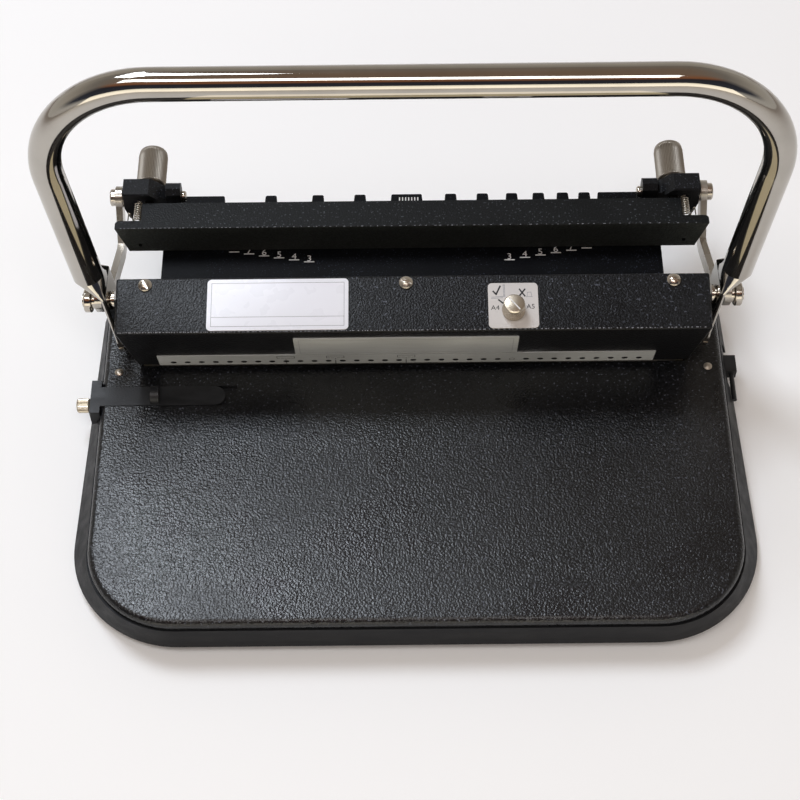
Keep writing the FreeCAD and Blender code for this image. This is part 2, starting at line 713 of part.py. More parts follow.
def make_hood():
    outer = hood_solid(0)
    sharp = [e for e in outer.Edges if e.BoundBox.ZMin > HOOD_FOOT[1] + 1 or e.BoundBox.ZLength > HOOD_LIP]
    outer = outer.makeFillet(HOOD_EDGE_R, sharp)
    inner = hood_solid(HOOD_WALL)
    under = block(-FRAME_X - FRAME_T, FRAME_X + FRAME_T, DIE_NECK_FRONT, DIE_NECK_BACK,
                  TABLE_Z, HOOD_FOOT[1] + 2 * HOOD_WALL)
    drop = hood_solid(HOOD_WALL)
    drop.translate(V(0, 0, -2 * HOOD_WALL))
    rear = block(-HOOD_HALF_TOP, HOOD_HALF_TOP, TIE_BACK_Y, HOOD_BACK_Y + HOOD_WALL,
                 TABLE_Z, FLOOR_Z + HOOD_WALL)
    slots = []
    for s in (LEFT, RIGHT):
        end = s * (HOOD_HALF_TOP + HOOD_WALL)
        start = s * (FRAME_X + FRAME_T)
        slots.append(rod_x(start, end, PIVOT_Y, PIVOT_Z, SHAFT_D + 4 * HOOD_WALL))
        low_x = min(start, end)
        half = SHAFT_D / 2 + 2 * HOOD_WALL
        slots.append(block(low_x, low_x + abs(end - start), PIVOT_Y - half, PIVOT_Y + half, TABLE_Z, PIVOT_Z))
    drills = hood_screw_rods(HOOD_SCREW_D + 2 * SCREW_GAP, 2 * HOOD_WALL)
    drills.append(on_top(rod_z(-2 * HOOD_WALL, 0, DIAL_X, KNOB_UP, SEL_SHAFT_D + 2 * RUN)))
    return outer.cut([inner, drop, under, rear] + slots + drills)


def make_hood_screws():
    screws = []
    for x in HOOD_SCREW_XS:
        place_y = TOP_LEN - HOOD_SCREW_IN
        screw = screw_z(x, place_y, 0, HOOD_SCREW_D, HOOD_WALL + HOOD_SCREW_LEN,
                        HOOD_SCREW_HEAD_D, HOOD_SCREW_HEAD_H)
        slot = block(-HOOD_SCREW_HEAD_D, HOOD_SCREW_HEAD_D, -HOOD_SCREW_SLOT_W / 2, HOOD_SCREW_SLOT_W / 2,
                     HOOD_SCREW_HEAD_H - HOOD_SCREW_SLOT_H, HOOD_SCREW_HEAD_H)
        slot.rotate(ORIGIN, Z_AXIS, x)
        slot.translate(V(x, place_y, 0))
        screws.append(on_top(screw.cut(slot)))
    return screws


# Plates and the selector knob

def flat_plate(x0, x1, y0, y1, corner_r):
    outline = rounded_outline([(x1, y0), (x1, y1), (x0, y1), (x0, y0)], [corner_r] * 4, 0)
    return Part.Face(outline).extrude(V(0, 0, PLATE_T))


def make_scale_strip():
    x0 = HOLE_OFFSET_X - STRIP_L / 2
    strip = block(x0, x0 + STRIP_L, STRIP_UP, STRIP_UP + STRIP_H, 0, PLATE_T)
    xs = hole_xs()
    drilled = xs[:HOLE_COUNT_BEFORE_BLANK] + xs[HOLE_COUNT_BEFORE_BLANK + 1:]
    marks = [rod_z(0, PLATE_T, x, STRIP_UP + STRIP_HOLE_UP, STRIP_HOLE_D) for x in drilled]
    return on_face(strip.cut(marks))


def make_nameplate():
    low = STRIP_UP + STRIP_H + PLATE_SPACE
    x0 = HOLE_OFFSET_X - NAMEPLATE_L / 2
    return on_face(flat_plate(x0, x0 + NAMEPLATE_L, low, low + NAMEPLATE_H, PLATE_SPACE))


def make_info_plate():
    left, right = INFO_X - INFO_L / 2, INFO_X + INFO_L / 2
    return on_top(flat_plate(left, right, INFO_UP, INFO_UP + INFO_H, PLATE_CORNER_R))


def make_dial_plate():
    left, right = DIAL_X - DIAL_SIZE / 2, DIAL_X + DIAL_SIZE / 2
    plate = flat_plate(left, right, DIAL_UP, DIAL_UP + DIAL_SIZE, PLATE_CORNER_R)
    return on_top(plate.cut(rod_z(0, PLATE_T, DIAL_X, KNOB_UP, SEL_SHAFT_D + 2 * SCREW_GAP)))


def make_selector_knob():
    low = PLATE_T + SEL_KNOB_LIFT
    knob = rod_z(low, low + SEL_KNOB_H, DIAL_X, KNOB_UP, SEL_KNOB_D)
    knob = knob.makeChamfer(SEL_EDGE, [e for e in knob.Edges if e.Closed])
    bore = rod_z(low, low + SEL_KNOB_H / 2, DIAL_X, KNOB_UP, SEL_SHAFT_D)
    return on_top(knob.cut(bore))


def make_selector_shaft():
    low = -HOOD_WALL - SEL_SHAFT_LEN
    shaft = rod_z(low, PLATE_T + SEL_KNOB_LIFT + SEL_KNOB_H / 2, DIAL_X, KNOB_UP, SEL_SHAFT_D)
    collar_top = -HOOD_WALL - GAP
    collar = rod_z(collar_top - SEL_COLLAR_T, collar_top, DIAL_X, KNOB_UP, SEL_COLLAR_D)
    finger = block(DIAL_X - SEL_FINGER_L, DIAL_X, KNOB_UP - SEL_FINGER_W / 2, KNOB_UP + SEL_FINGER_W / 2,
                   low, low + SEL_FINGER_T)
    return on_top(joined(shaft, [collar, finger]))


# Handle, cranks and link pins

def arm_point(distance):
    # A point on the right arm's centre line, measured up from the pivot.
    lean = math.radians(ARM_LEAN)
    splay = math.radians(ARM_SPLAY)
    rise = math.cos(splay)
    return V(ARM_FOOT_X + distance * math.sin(splay),
             PIVOT_Y + distance * rise * math.sin(lean),
             PIVOT_Z + distance * rise * math.cos(lean))


def arm_frame(distance):
    # Placement whose Z runs up the arm and whose Y runs front to back.
    up = (arm_point(1) - arm_point(0)).normalize()
    across = (Y_AXIS - up * up.dot(Y_AXIS)).normalize()
    side = across.cross(up)
    rotation = FreeCAD.Rotation(side, across, up, "ZXY")
    return FreeCAD.Placement(arm_point(distance), rotation)


def stadium(width, thickness, place):
    half = width / 2 - thickness / 2
    r = thickness / 2
    a, b = V(-r, -half, 0), V(r, -half, 0)
    c, d = V(r, half, 0), V(-r, half, 0)
    edges = [Part.Arc(a, V(0, -half - r, 0), b).toShape(), Part.LineSegment(b, c).toShape(),
             Part.Arc(c, V(0, half + r, 0), d).toShape(), Part.LineSegment(d, a).toShape()]
    wire = Part.Wire(edges)
    wire.Placement = place
    return wire


def split_circle(diameter, place):
    r = diameter / 2
    half = r * math.sqrt(0.5)
    corners = [V(-half, -half, 0), V(half, -half, 0), V(half, half, 0), V(-half, half, 0)]
    mids = [V(0, -r, 0), V(r, 0, 0), V(0, r, 0), V(-r, 0, 0)]
    edges = [Part.Arc(corners[i], mids[i], corners[(i + 1) % 4]).toShape() for i in range(4)]
    wire = Part.Wire(edges)
    wire.Placement = place
    return wire


def handle_path(start):
    # Up one arm, across the bar and down the other, with round bends.
    foot = arm_point(start)
    corner = arm_point(ARM_LEN)
    down = (foot - corner).normalize()
    inward = V(-1, 0, 0)
    half = down.getAngle(inward) / 2
    reach = BEND_R / math.tan(half)
    bend_mid = corner + (down + inward).normalize() * (BEND_R / math.sin(half) - BEND_R)
    lower, upper = corner + down * reach, corner + inward * reach

    def flip(p):
        return V(-p.x, p.y, p.z)

    edges = [Part.LineSegment(foot, lower).toShape(), Part.Arc(lower, bend_mid, upper).toShape(),
             Part.LineSegment(upper, flip(upper)).toShape(),
             Part.Arc(flip(upper), flip(bend_mid), flip(lower)).toShape(),
             Part.LineSegment(flip(lower), flip(foot)).toShape()]
    return Part.Wire(edges)


def bent_tube(diameter, start):
    ring = Part.Wire(Part.makeCircle(diameter / 2, ORIGIN, Z_AXIS))
    ring.Placement = arm_frame(start)
    return Part.Solid(handle_path(start).makePipeShell([ring], True, True))


def spade_frame(distance):
    # As the arm's frame, moved inwards so that the flat end lies flush with the tube's inner side.
    return arm_frame(distance).multiply(FreeCAD.Placement(V(-SPADE_OFFSET, 0, 0), FreeCAD.Rotation()))


def spade_face_x(z, face):
    # Where the inner or outer face of the flat end stands at one height.
    splay = math.radians(ARM_SPLAY)
    return SPADE_X + (z - PIVOT_Z) * math.tan(splay) + face * SPADE_T / 2 / math.cos(splay)


def spade():
    # The flattened end of the tube: a plate round at the pivot, then the crush up to the full tube.
    tip = Part.makeCylinder(SPADE_W / 2, SPADE_T, V(-SPADE_T / 2, 0, 0), X_AXIS)
    half = (SPADE_W - SPADE_T) / 2
    plate = block(-SPADE_T / 2, SPADE_T / 2, -half, half, 0, SPADE_LEN)
    for s in (-1, 1):
        edge = Part.makeCylinder(SPADE_T / 2, SPADE_LEN, V(0, s * half, 0), Z_AXIS)
        plate = plate.fuse(edge)
    plate = joined(plate, [tip])
    plate.Placement = spade_frame(0)
    crush = Part.makeLoft([stadium(SPADE_W, SPADE_T, spade_frame(SPADE_LEN)),
                           split_circle(TUBE_D, arm_frame(SPADE_LEN + CRUSH_LEN))], True, True)
    near, far = SPADE_X - SPADE_W, SPADE_X + SPADE_W
    holes = [rod_x(near, far, PIVOT_Y, PIVOT_Z, SPIGOT_D + 2 * SCREW_GAP),
             rod_x(near, far, LINK_PIN_Y, LINK_PIN_Z, LINK_PIN_D + 2 * SCREW_GAP)]
    return joined(plate, [crush]).cut(holes)


def make_handle():
    start = SPADE_LEN + CRUSH_LEN
    tube = bent_tube(TUBE_D, start)
    bore = bent_tube(TUBE_D - 2 * TUBE_WALL, start + TUBE_D)
    end = spade()
    return joined(tube.cut(bore), [end, mirrored(end, LEFT)])


def make_crank(side):
    arm_out = CRANK_ARM_X + CRANK_ARM_T
    half_swing = math.radians(HANDLE_SWING / 2)
    pin_y = PIVOT_Y - CRANK_R * math.cos(half_swing)
    pin_z = crank_pin_z()
    hub = rod_x(CRANK_ARM_X, arm_out, PIVOT_Y, PIVOT_Z, CRANK_HUB_D)
    boss = rod_x(CRANK_ARM_X, arm_out, pin_y, pin_z, CRANK_BOSS_D)
    pin = rod_x(YOKE_X + RUN, CRANK_ARM_X, pin_y, pin_z, CRANK_PIN_D)
    shaft = rod_x(arm_out, SHAFT_SHOULDER_X, PIVOT_Y, PIVOT_Z, SHAFT_D)
    spigot = rod_x(SHAFT_SHOULDER_X, SPIGOT_HEAD_X, PIVOT_Y, PIVOT_Z, SPIGOT_D)
    head = rod_x(SPIGOT_HEAD_X, SPIGOT_HEAD_X + SPIGOT_HEAD_T, PIVOT_Y, PIVOT_Z, SPIGOT_HEAD_D)
    outer = [e for e in head.Edges if e.BoundBox.XMin > SPIGOT_HEAD_X + SPIGOT_HEAD_T - 0.05 and e.Closed]
    head = head.makeFillet(SPIGOT_HEAD_T / 2, outer)
    return mirrored(joined(hub, [boss, pin, shaft, spigot, head]), side)


def make_link_pin(side):
    inner = spade_face_x(LINK_PIN_Z - LINK_PIN_INNER_HEAD_D / 2, -1) - RUN
    washer_x = LINK_FRONT_X + LINK_T + GAP
    head_x = washer_x + LINK_WASHER_T
    nub_x = head_x + LINK_PIN_HEAD_T
    inner_head = rod_x(inner - LINK_PIN_INNER_HEAD_T, inner, LINK_PIN_Y, LINK_PIN_Z, LINK_PIN_INNER_HEAD_D)
    shank = rod_x(inner, nub_x + LINK_PIN_NUB_T, LINK_PIN_Y, LINK_PIN_Z, LINK_PIN_D)
    washer = rod_x(washer_x, head_x, LINK_PIN_Y, LINK_PIN_Z, LINK_WASHER_D)
    head = rod_x(head_x, nub_x, LINK_PIN_Y, LINK_PIN_Z, LINK_PIN_HEAD_D)
    rims = [e for e in head.Edges if e.Closed and e.BoundBox.XLength < 0.1]
    head = head.makeFillet(LINK_PIN_HEAD_T / 4, rims)
    return mirrored(joined(shank, [inner_head, washer, head]), side)


# Links, with the geometry of the swing that the slot has to allow

def link_state(swing):
    # Pin place, block travel and link angle of the true linkage at one handle angle.
    a = math.radians(swing)
    y = PIVOT_Y + LINK_PIN_DY * math.cos(a) - LINK_PIN_DZ * math.sin(a)
    z = PIVOT_Z + LINK_PIN_DY * math.sin(a) + LINK_PIN_DZ * math.cos(a)
    length = math.hypot(BLOCK_PIN_Y - LINK_PIN_Y, BLOCK_PIN_Z - LINK_PIN_Z)
    block_y = y + math.sqrt(length ** 2 - (BLOCK_PIN_Z - z) ** 2)
    return y, z, BLOCK_PIN_Y - block_y, math.atan2(BLOCK_PIN_Z - z, block_y - y)


def seen_from_link(y, z, swing):
    # Where a fixed point lies on the resting link when the handle stands at this angle.
    share = swing / HANDLE_SWING
    turn = (link_state(HANDLE_SWING)[3] - link_state(0)[3]) * share
    dy = y - (BLOCK_PIN_Y - link_state(HANDLE_SWING)[2] * share)
    dz = z - BLOCK_PIN_Z
    return (BLOCK_PIN_Y + dy * math.cos(turn) + dz * math.sin(turn),
            BLOCK_PIN_Z + dz * math.cos(turn) - dy * math.sin(turn))


def link_slot_reach():
    # The constant-ratio couplings meet the true linkage at both ends of the swing.
    # Half way, the pin stands off its eye by this much, seen from the link at rest.
    y, z = link_state(HANDLE_SWING / 2)[:2]
    seen = seen_from_link(y, z, HANDLE_SWING / 2)
    return seen[0] - LINK_PIN_Y, seen[1] - LINK_PIN_Z


def bar_between(first, second, width):
    run = V(0, second[0] - first[0], second[1] - first[1])
    bar = Part.makeBox(LINK_STEP + LINK_T, run.Length, width, V(0, 0, -width / 2))
    bar.rotate(ORIGIN, X_AXIS, math.degrees(math.atan2(run.z, run.y)))
    bar.translate(V(LINK_X, first[0], first[1]))
    return bar


def disc(point, diameter):
    return rod_x(LINK_X, LINK_FRONT_X + LINK_T, point[0], point[1], diameter)


def link_band():
    # The link seen from above: straight beside the block, then joggled outwards past the handle's end.
    front = LINK_PIN_Y - 2 * LINK_EYE_D
    back = BLOCK_PIN_Y + LINK_EYE_D
    inner = [(LINK_X, back), (LINK_X, LINK_BEND_BACK_Y),
             (LINK_FRONT_X, LINK_BEND_FRONT_Y), (LINK_FRONT_X, front)]
    outer = [(x + LINK_T, y) for x, y in reversed(inner)]
    return prism_z(inner + outer, TABLE_Z, LINK_PIN_Z + LINK_EYE_D)


def make_link(side):
    eye = (LINK_PIN_Y, LINK_PIN_Z)
    dy, dz = link_slot_reach()
    far = (eye[0] + dy, eye[1] + dz)
    tail = (BLOCK_PIN_Y, BLOCK_PIN_Z)
    shoulder = (LINK_SHOULDER_Y, TABLE_Z + LINK_SHOULDER_RISE)
    dip = (LINK_DIP_Y, TABLE_Z + LINK_DIP_RISE)
    spine = [eye, shoulder, dip, tail]
    solids = [bar_between(spine[i], spine[i + 1], LINK_W) for i in range(len(spine) - 1)]
    solids += [disc(p, LINK_W) for p in spine[1:-1]]
    solids += [disc(tail, LINK_EYE_D), disc(eye, LINK_EYE_D), disc(far, LINK_EYE_D),
               bar_between(eye, far, LINK_EYE_D)]
    slot_w = LINK_PIN_D + 2 * LINK_SLOT_PLAY
    slot = joined(disc(eye, slot_w), [disc(far, slot_w), bar_between(eye, far, slot_w)])
    bore = disc(tail, LINK_PIN_D + 2 * RUN)
    outline = joined(solids[0], solids[1:]).cut([slot, bore])
    return mirrored(outline.common(link_band()), side)


# Wire closer: floor, risers, jaw, blocks and adjusters

def gauge_notches():
    notches = []
    x = GAUGE_START
    for row in (GAUGE_LEFT, GAUGE_RIGHT):
        for size in row:
            width = (size - 1) * INCH / 16
            notches.append((x, x + width))
            x += width + GAUGE_TOOTH
        x += GAUGE_CENTRE_TOOTH - GAUGE_TOOTH
    return notches


def make_closer_floor():
    plate = block(-FLOOR_HALF, FLOOR_HALF, FLOOR_FRONT_Y, FLOOR_BACK_Y, FLOOR_Z - FLOOR_T, FLOOR_Z)
    root = FLOOR_BACK_Y - GAUGE_DEPTH
    cuts = []
    for x0, x1 in gauge_notches():
        mouth = [(x0, root), (x1, root), (x1 + GAUGE_FLARE, FLOOR_BACK_Y), (x0 - GAUGE_FLARE, FLOOR_BACK_Y)]
        cuts.append(prism_z(mouth, FLOOR_Z - FLOOR_T, FLOOR_Z))
    floor = plate.cut(cuts)
    tips = [e for e in floor.Edges
            if e.BoundBox.ZLength > FLOOR_T / 2 and e.BoundBox.YMin > FLOOR_BACK_Y - GAP]
    return floor.makeFillet(GAUGE_TIP_R, tips)


def riser_screw_places():
    y = (RISER_FRONT_Y + RISER_T + RISER_BACK_Y) / 2
    return [(s * RISER_X + k * RISER_SCREW_SPACING / 2, y) for s in (LEFT, RIGHT) for k in (-1, 1)]


def make_riser(side):
    x0, x1 = side * RISER_X - RISER_W / 2, side * RISER_X + RISER_W / 2
    top = FLOOR_Z - FLOOR_T
    web = block(x0, x1, RISER_FRONT_Y, RISER_FRONT_Y + RISER_T, TABLE_Z, top)
    foot = block(x0, x1, RISER_FRONT_Y, RISER_BACK_Y, TABLE_Z, TABLE_Z + RISER_T)
    head = block(x0, x1, RISER_FRONT_Y, RISER_BACK_Y, top - RISER_T, top)
    drills = [rod_z(TABLE_Z, TABLE_Z + RISER_T, x, y, RISER_SCREW_D + 2 * SCREW_GAP)
              for x, y in riser_screw_places()]
    return joined(web, [foot, head]).cut(drills)


def make_riser_screws():
    seat = TABLE_Z + RISER_T
    return [screw_z(x, y, seat, RISER_SCREW_D, RISER_T + TABLE_T, RISER_SCREW_HEAD_D, RISER_SCREW_HEAD_H)
            for x, y in riser_screw_places()]


def make_jaw_bar():
    low, high = JAW_Z, JAW_Z + JAW_H
    face_back = JAW_FRONT_Y + JAW_FACE_T
    corners = [V(-JAW_HALF + JAW_BEVEL, JAW_FRONT_Y, low), V(JAW_HALF - JAW_BEVEL, JAW_FRONT_Y, low),
               V(JAW_HALF, JAW_FRONT_Y, high), V(-JAW_HALF, JAW_FRONT_Y, high)]
    face = Part.Face(Part.makePolygon(corners + corners[:1])).extrude(V(0, JAW_FACE_T, 0))
    ends = [e for e in face.Edges if e.BoundBox.YMin > face_back - GAP and e.BoundBox.ZLength > JAW_TOP_T]
    face = face.makeFillet(JAW_CORNER_R, ends)
    top = block(-JAW_TOP_HALF, JAW_TOP_HALF, JAW_FRONT_Y, JAW_FRONT_Y + JAW_TOP_W, high - JAW_TOP_T, high)
    bar = joined(face, [top])
    front_edges = [e for e in bar.Edges
                   if e.BoundBox.YMax < JAW_FRONT_Y + GAP and e.BoundBox.ZMin > high - GAP]
    bar = bar.makeFillet(JAW_EDGE_R, front_edges)
    hole_x = JAW_HALF - JAW_HOLE_IN
    holes = [rod_y(JAW_FRONT_Y, face_back, s * hole_x, low + JAW_HOLE_UP, JAW_HOLE_D) for s in (LEFT, RIGHT)]
    return bar.cut(holes)


def make_jaw_stud(side):
    end = KNOB_FRONT_Y + STUD_IN_KNOB
    return rod_y(JAW_FRONT_Y + JAW_FACE_T, end, side * STUD_X, STUD_Z, STUD_D)


def make_closer_block(side):
    low, high = BLOCK_Z, BLOCK_Z + BLOCK_H
    flat_x = BLOCK_OUTER_X - BLOCK_FLAT_W
    slope_x = flat_x - BLOCK_SLOPE_W
    front_view = [(BLOCK_OUTER_X - BLOCK_TAPER_W, low), (BLOCK_OUTER_X, low + BLOCK_TAPER_H),
                  (BLOCK_OUTER_X, high), (flat_x, high), (slope_x, high - BLOCK_SLOPE_DROP),
                  (BLOCK_INNER_X, high - BLOCK_SADDLE_DROP), (BLOCK_INNER_X, low)]
    body = prism_y(front_view, BLOCK_FRONT_Y, BLOCK_BACK_Y)
    rim = [e for e in body.Edges if e.BoundBox.ZMin > high - GAP and e.BoundBox.XLength > BLOCK_EDGE]
    body = body.makeChamfer(BLOCK_EDGE, rim)
    leg_x = BLOCK_OUTER_X - ARCH_LEG_W
    arch = [(BLOCK_INNER_X, low), (BLOCK_OUTER_X - ARCH_LEG_FOOT_W, low), (leg_x, low + BLOCK_TAPER_H),
            (leg_x, low + ARCH_H - ARCH_CORNER), (leg_x - ARCH_CORNER, low + ARCH_H),
            (BLOCK_INNER_X, low + ARCH_H)]
    hollow = prism_y(arch, BLOCK_FRONT_Y, BLOCK_FRONT_Y + ARCH_DEPTH)
    lug_profile = [(LUG_FRONT_Y, low), (BLOCK_BACK_Y, low), (BLOCK_BACK_Y, low + LUG_H - LUG_CHAMFER),
                   (BLOCK_BACK_Y - LUG_CHAMFER, low + LUG_H), (LUG_FRONT_Y + LUG_CHAMFER, low + LUG_H),
                   (LUG_FRONT_Y, low + LUG_H - LUG_CHAMFER)]
    lug = prism_x(lug_profile, LUG_INNER_X, BLOCK_INNER_X)
    leg_x = FLOOR_HALF + CLAW_GAP
    lip_top = FLOOR_Z - FLOOR_T - CLAW_GAP
    leg = block(leg_x, leg_x + CLAW_LEG_T, LUG_FRONT_Y, BLOCK_BACK_Y, lip_top - CLAW_LIP_T, low)
    lip = block(FLOOR_HALF - CLAW_LIP_W, leg_x, LUG_FRONT_Y, BLOCK_BACK_Y, lip_top - CLAW_LIP_T, lip_top)
    tunnel = rod_y(BLOCK_FRONT_Y, BLOCK_BACK_Y, STUD_X, STUD_Z, STUD_D + 2 * SCREW_GAP)
    pin_hole = rod_x(BLOCK_OUTER_X - BLOCK_PIN_DEPTH, BLOCK_OUTER_X, BLOCK_PIN_Y, BLOCK_PIN_Z,
                     LINK_PIN_D + 2 * SCREW_GAP)
    screw_hole = rod_x(LUG_INNER_X, LUG_INNER_X + LUG_SCREW_LEN, LUG_MID_Y, LUG_SCREW_Z,
                       LUG_SCREW_D + 2 * SCREW_GAP)
    return mirrored(joined(body, [lug, leg, lip]).cut([hollow, tunnel, pin_hole, screw_hole]), side)


def make_lug_screw(side):
    shank = rod_x(LUG_INNER_X, LUG_INNER_X + LUG_SCREW_LEN, LUG_MID_Y, LUG_SCREW_Z, LUG_SCREW_D)
    head = rod_x(LUG_INNER_X - LUG_SCREW_HEAD_T, LUG_INNER_X, LUG_MID_Y, LUG_SCREW_Z, LUG_SCREW_HEAD_D)
    rim = [e for e in head.Edges if e.Closed and e.BoundBox.XMax < LUG_INNER_X - LUG_SCREW_HEAD_T + 0.05]
    return mirrored(joined(head.makeFillet(LUG_SCREW_HEAD_T / 2, rim), [shank]), side)


def make_block_pin(side):
    head_x = LINK_X + LINK_T + GAP
    shank = rod_x(BLOCK_OUTER_X - BLOCK_PIN_DEPTH, head_x, BLOCK_PIN_Y, BLOCK_PIN_Z, LINK_PIN_D)
    washer = rod_x(BLOCK_OUTER_X, LINK_X - GAP, BLOCK_PIN_Y, BLOCK_PIN_Z, BLOCK_PIN_WASHER_D)
    head = rod_x(head_x, head_x + BLOCK_PIN_HEAD_T, BLOCK_PIN_Y, BLOCK_PIN_Z, BLOCK_PIN_HEAD_D)
    rim = [e for e in head.Edges if e.Closed and e.BoundBox.XMin > head_x + BLOCK_PIN_HEAD_T - 0.05]
    head = head.makeFillet(BLOCK_PIN_HEAD_T / 3, rim)
    return mirrored(joined(shank, [washer, head]), side)


def make_adjust_knob(side):
    x = side * STUD_X
    neck = rod_y(KNOB_FRONT_Y, KNOB_FRONT_Y + KNOB_NECK_L, x, STUD_Z, KNOB_NECK_D)
    grip = rod_y(KNOB_FRONT_Y + KNOB_NECK_L, KNOB_FRONT_Y + KNOB_L, x, STUD_Z, KNOB_D)
    grip = grip.makeChamfer(KNOB_EDGE, [e for e in grip.Edges if e.Closed and e.BoundBox.YLength < 0.1])
    bore = rod_y(KNOB_FRONT_Y, KNOB_FRONT_Y + KNOB_BORE, x, STUD_Z, STUD_D + 2 * RUN)
    return joined(neck, [grip]).cut(bore)


# Jaw springs

def biarc(p0, t0, p1, t1):
    # Two arcs from p0 along t0 to p1 along t1, smooth where they meet.
    v = p1 - p0
    t = t0 + t1
    k = 2 * (1 - t0.dot(t1))
    vt = v.dot(t)
    d = (-vt + math.sqrt(vt * vt + k * v.dot(v))) / k
    q0, q1 = p0 + t0 * d, p1 - t1 * d
    joint = (q0 + q1) * 0.5
    arcs = []
    for a, q, b in ((p0, q0, joint), (joint, q1, p1)):
        w = math.cos(((q - a).getAngle(b - q)) / 2)
        middle = (a + b + q * (2 * w)) * (1 / (2 + 2 * w))
        arcs.append(Part.Arc(a, middle, b).toShape())
    return arcs


def helix_place(turn, pitch, y0):
    a = 2 * math.pi * turn
    r = SPRING_MEAN_D / 2
    point = V(r * math.cos(a), y0 + pitch * turn, r * math.sin(a))
    slope = V(-2 * math.pi * r * math.sin(a), pitch, 2 * math.pi * r * math.cos(a))
    return point, slope.normalize()


def spring_path(y_start, y_end):
    # Straight ends along the axis, one wire long, then quarter-turn biarcs of the coil.
    bend = SPRING_BEND
    first = y_start + SPRING_WIRE + bend
    last = y_end - SPRING_WIRE - bend
    pitch = (last - first) / SPRING_TURNS
    steps = 4 * SPRING_TURNS
    stations = [helix_place(i / 4, pitch, first) for i in range(steps + 1)]
    start, start_dir = stations[0]
    end, end_dir = stations[-1]
    foot = start - start_dir * bend - Y_AXIS * bend
    head = end + end_dir * bend + Y_AXIS * bend
    foot_end, head_end = V(foot.x, y_start, foot.z), V(head.x, y_end, head.z)
    edges = [Part.LineSegment(foot_end, foot).toShape()] + biarc(foot, Y_AXIS, start, start_dir)
    for i in range(steps):
        edges += biarc(*stations[i], *stations[i + 1])
    edges += biarc(end, end_dir, head, Y_AXIS) + [Part.LineSegment(head, head_end).toShape()]
    return Part.Wire(edges), pitch


def least_gap(wire):
    # The smallest distance between points of the wire that lie over half a turn apart.
    points = wire.discretize(Number=60 * SPRING_TURNS)
    step = wire.Length / (len(points) - 1)
    apart = int(math.pi * SPRING_MEAN_D / 2 / step)
    gaps = [(points[i] - points[j]).Length for i in range(len(points)) for j in range(i + apart, len(points))]
    return min(gaps) - SPRING_WIRE


def make_jaw_spring(side):
    seat = GAP / 2
    path, pitch = spring_path(JAW_FRONT_Y + JAW_FACE_T + seat, BLOCK_FRONT_Y + ARCH_DEPTH - seat)
    start = path.Edges[0].Vertexes[0].Point
    ring = Part.Wire(Part.makeCircle(SPRING_WIRE / 2, start, Y_AXIS))
    coil = Part.Solid(path.makePipeShell([ring], True, False))
    expected = math.pi * SPRING_WIRE ** 2 / 4 * path.Length
    print("spring gap %.2f mm, pitch %.2f mm, volume %.2f of %.2f mm3"
          % (least_gap(path), pitch, coil.Volume, expected))
    coil.translate(V(SPRING_X, 0, SPRING_Z))
    return mirrored(coil, side)


# Side guide and thumbscrew

def guide_mid_y():
    return (GUIDE_BAR_FRONT + GUIDE_BAR_BACK) / 2


def make_side_guide():
    low, high = TABLE_Z - GUIDE_SLOT_DEPTH + GAP, TABLE_Z + GUIDE_BAR_PROUD
    width = GUIDE_BAR_BACK - GUIDE_BAR_FRONT
    end_x = GUIDE_BAR_END_X - width / 2
    bar = block(GUIDE_BLOCK_OUT_X, end_x, GUIDE_BAR_FRONT, GUIDE_BAR_BACK, low, high)
    nose = rod_z(low, high, end_x, guide_mid_y(), width)
    clamp = block(GUIDE_BLOCK_OUT_X, -TABLE_W / 2 - GAP, guide_mid_y() - GUIDE_BLOCK_W / 2,
                  guide_mid_y() + GUIDE_BLOCK_W / 2, TABLE_Z - GUIDE_BLOCK_DROP, high)
    clamp = clamp.cut(base_loft(BASE_Z, TABLE_UNDER, -GAP))
    hole = rod_x(GUIDE_BLOCK_OUT_X, -TABLE_W / 2, guide_mid_y(), THUMB_HOLE_Z, THUMB_SHAFT_D + 2 * RUN)
    socket = block(GUIDE_STOP_X - GUIDE_STOP_T, GUIDE_STOP_X, guide_mid_y() - GUIDE_STOP_D / 4,
                   guide_mid_y() + GUIDE_STOP_D / 4, TABLE_Z - GUIDE_SLOT_DEPTH + 2 * GAP, high)
    return joined(bar, [nose, clamp]).cut([hole, socket])


def make_guide_stop():
    top = TABLE_Z + GUIDE_BAR_PROUD
    peg_low = TABLE_Z - GUIDE_SLOT_DEPTH + 2 * GAP
    peg = block(GUIDE_STOP_X - GUIDE_STOP_T, GUIDE_STOP_X, guide_mid_y() - GUIDE_STOP_D / 4,
                guide_mid_y() + GUIDE_STOP_D / 4, peg_low, top)
    wheel_z = top + GUIDE_STOP_RISE - GUIDE_STOP_D / 2
    wheel = rod_x(GUIDE_STOP_X - GUIDE_STOP_T, GUIDE_STOP_X, guide_mid_y(), wheel_z, GUIDE_STOP_D)
    above = block(GUIDE_STOP_X - GUIDE_STOP_T, GUIDE_STOP_X, guide_mid_y() - GUIDE_STOP_D,
                  guide_mid_y() + GUIDE_STOP_D, top, top + GUIDE_STOP_RISE)
    return joined(wheel.common(above), [peg])


def make_thumbscrew():
    neck_x = GUIDE_BLOCK_OUT_X - RUN
    inner = -TABLE_W / 2 + THUMB_SINK - GAP
    shaft = rod_x(neck_x, inner, guide_mid_y(), THUMB_HOLE_Z, THUMB_SHAFT_D)
    neck = rod_x(neck_x - THUMB_NECK_L, neck_x, guide_mid_y(), THUMB_HOLE_Z, THUMB_NECK_D)
    head = rod_x(neck_x - THUMB_NECK_L - THUMB_L, neck_x - THUMB_NECK_L, guide_mid_y(), THUMB_HOLE_Z, THUMB_D)
    rims = [e for e in head.Edges if e.Closed and e.BoundBox.XLength < 0.1]
    head = head.makeChamfer(THUMB_NECK_L / 3, rims)
    return joined(shaft, [neck, head])


# Chip tray

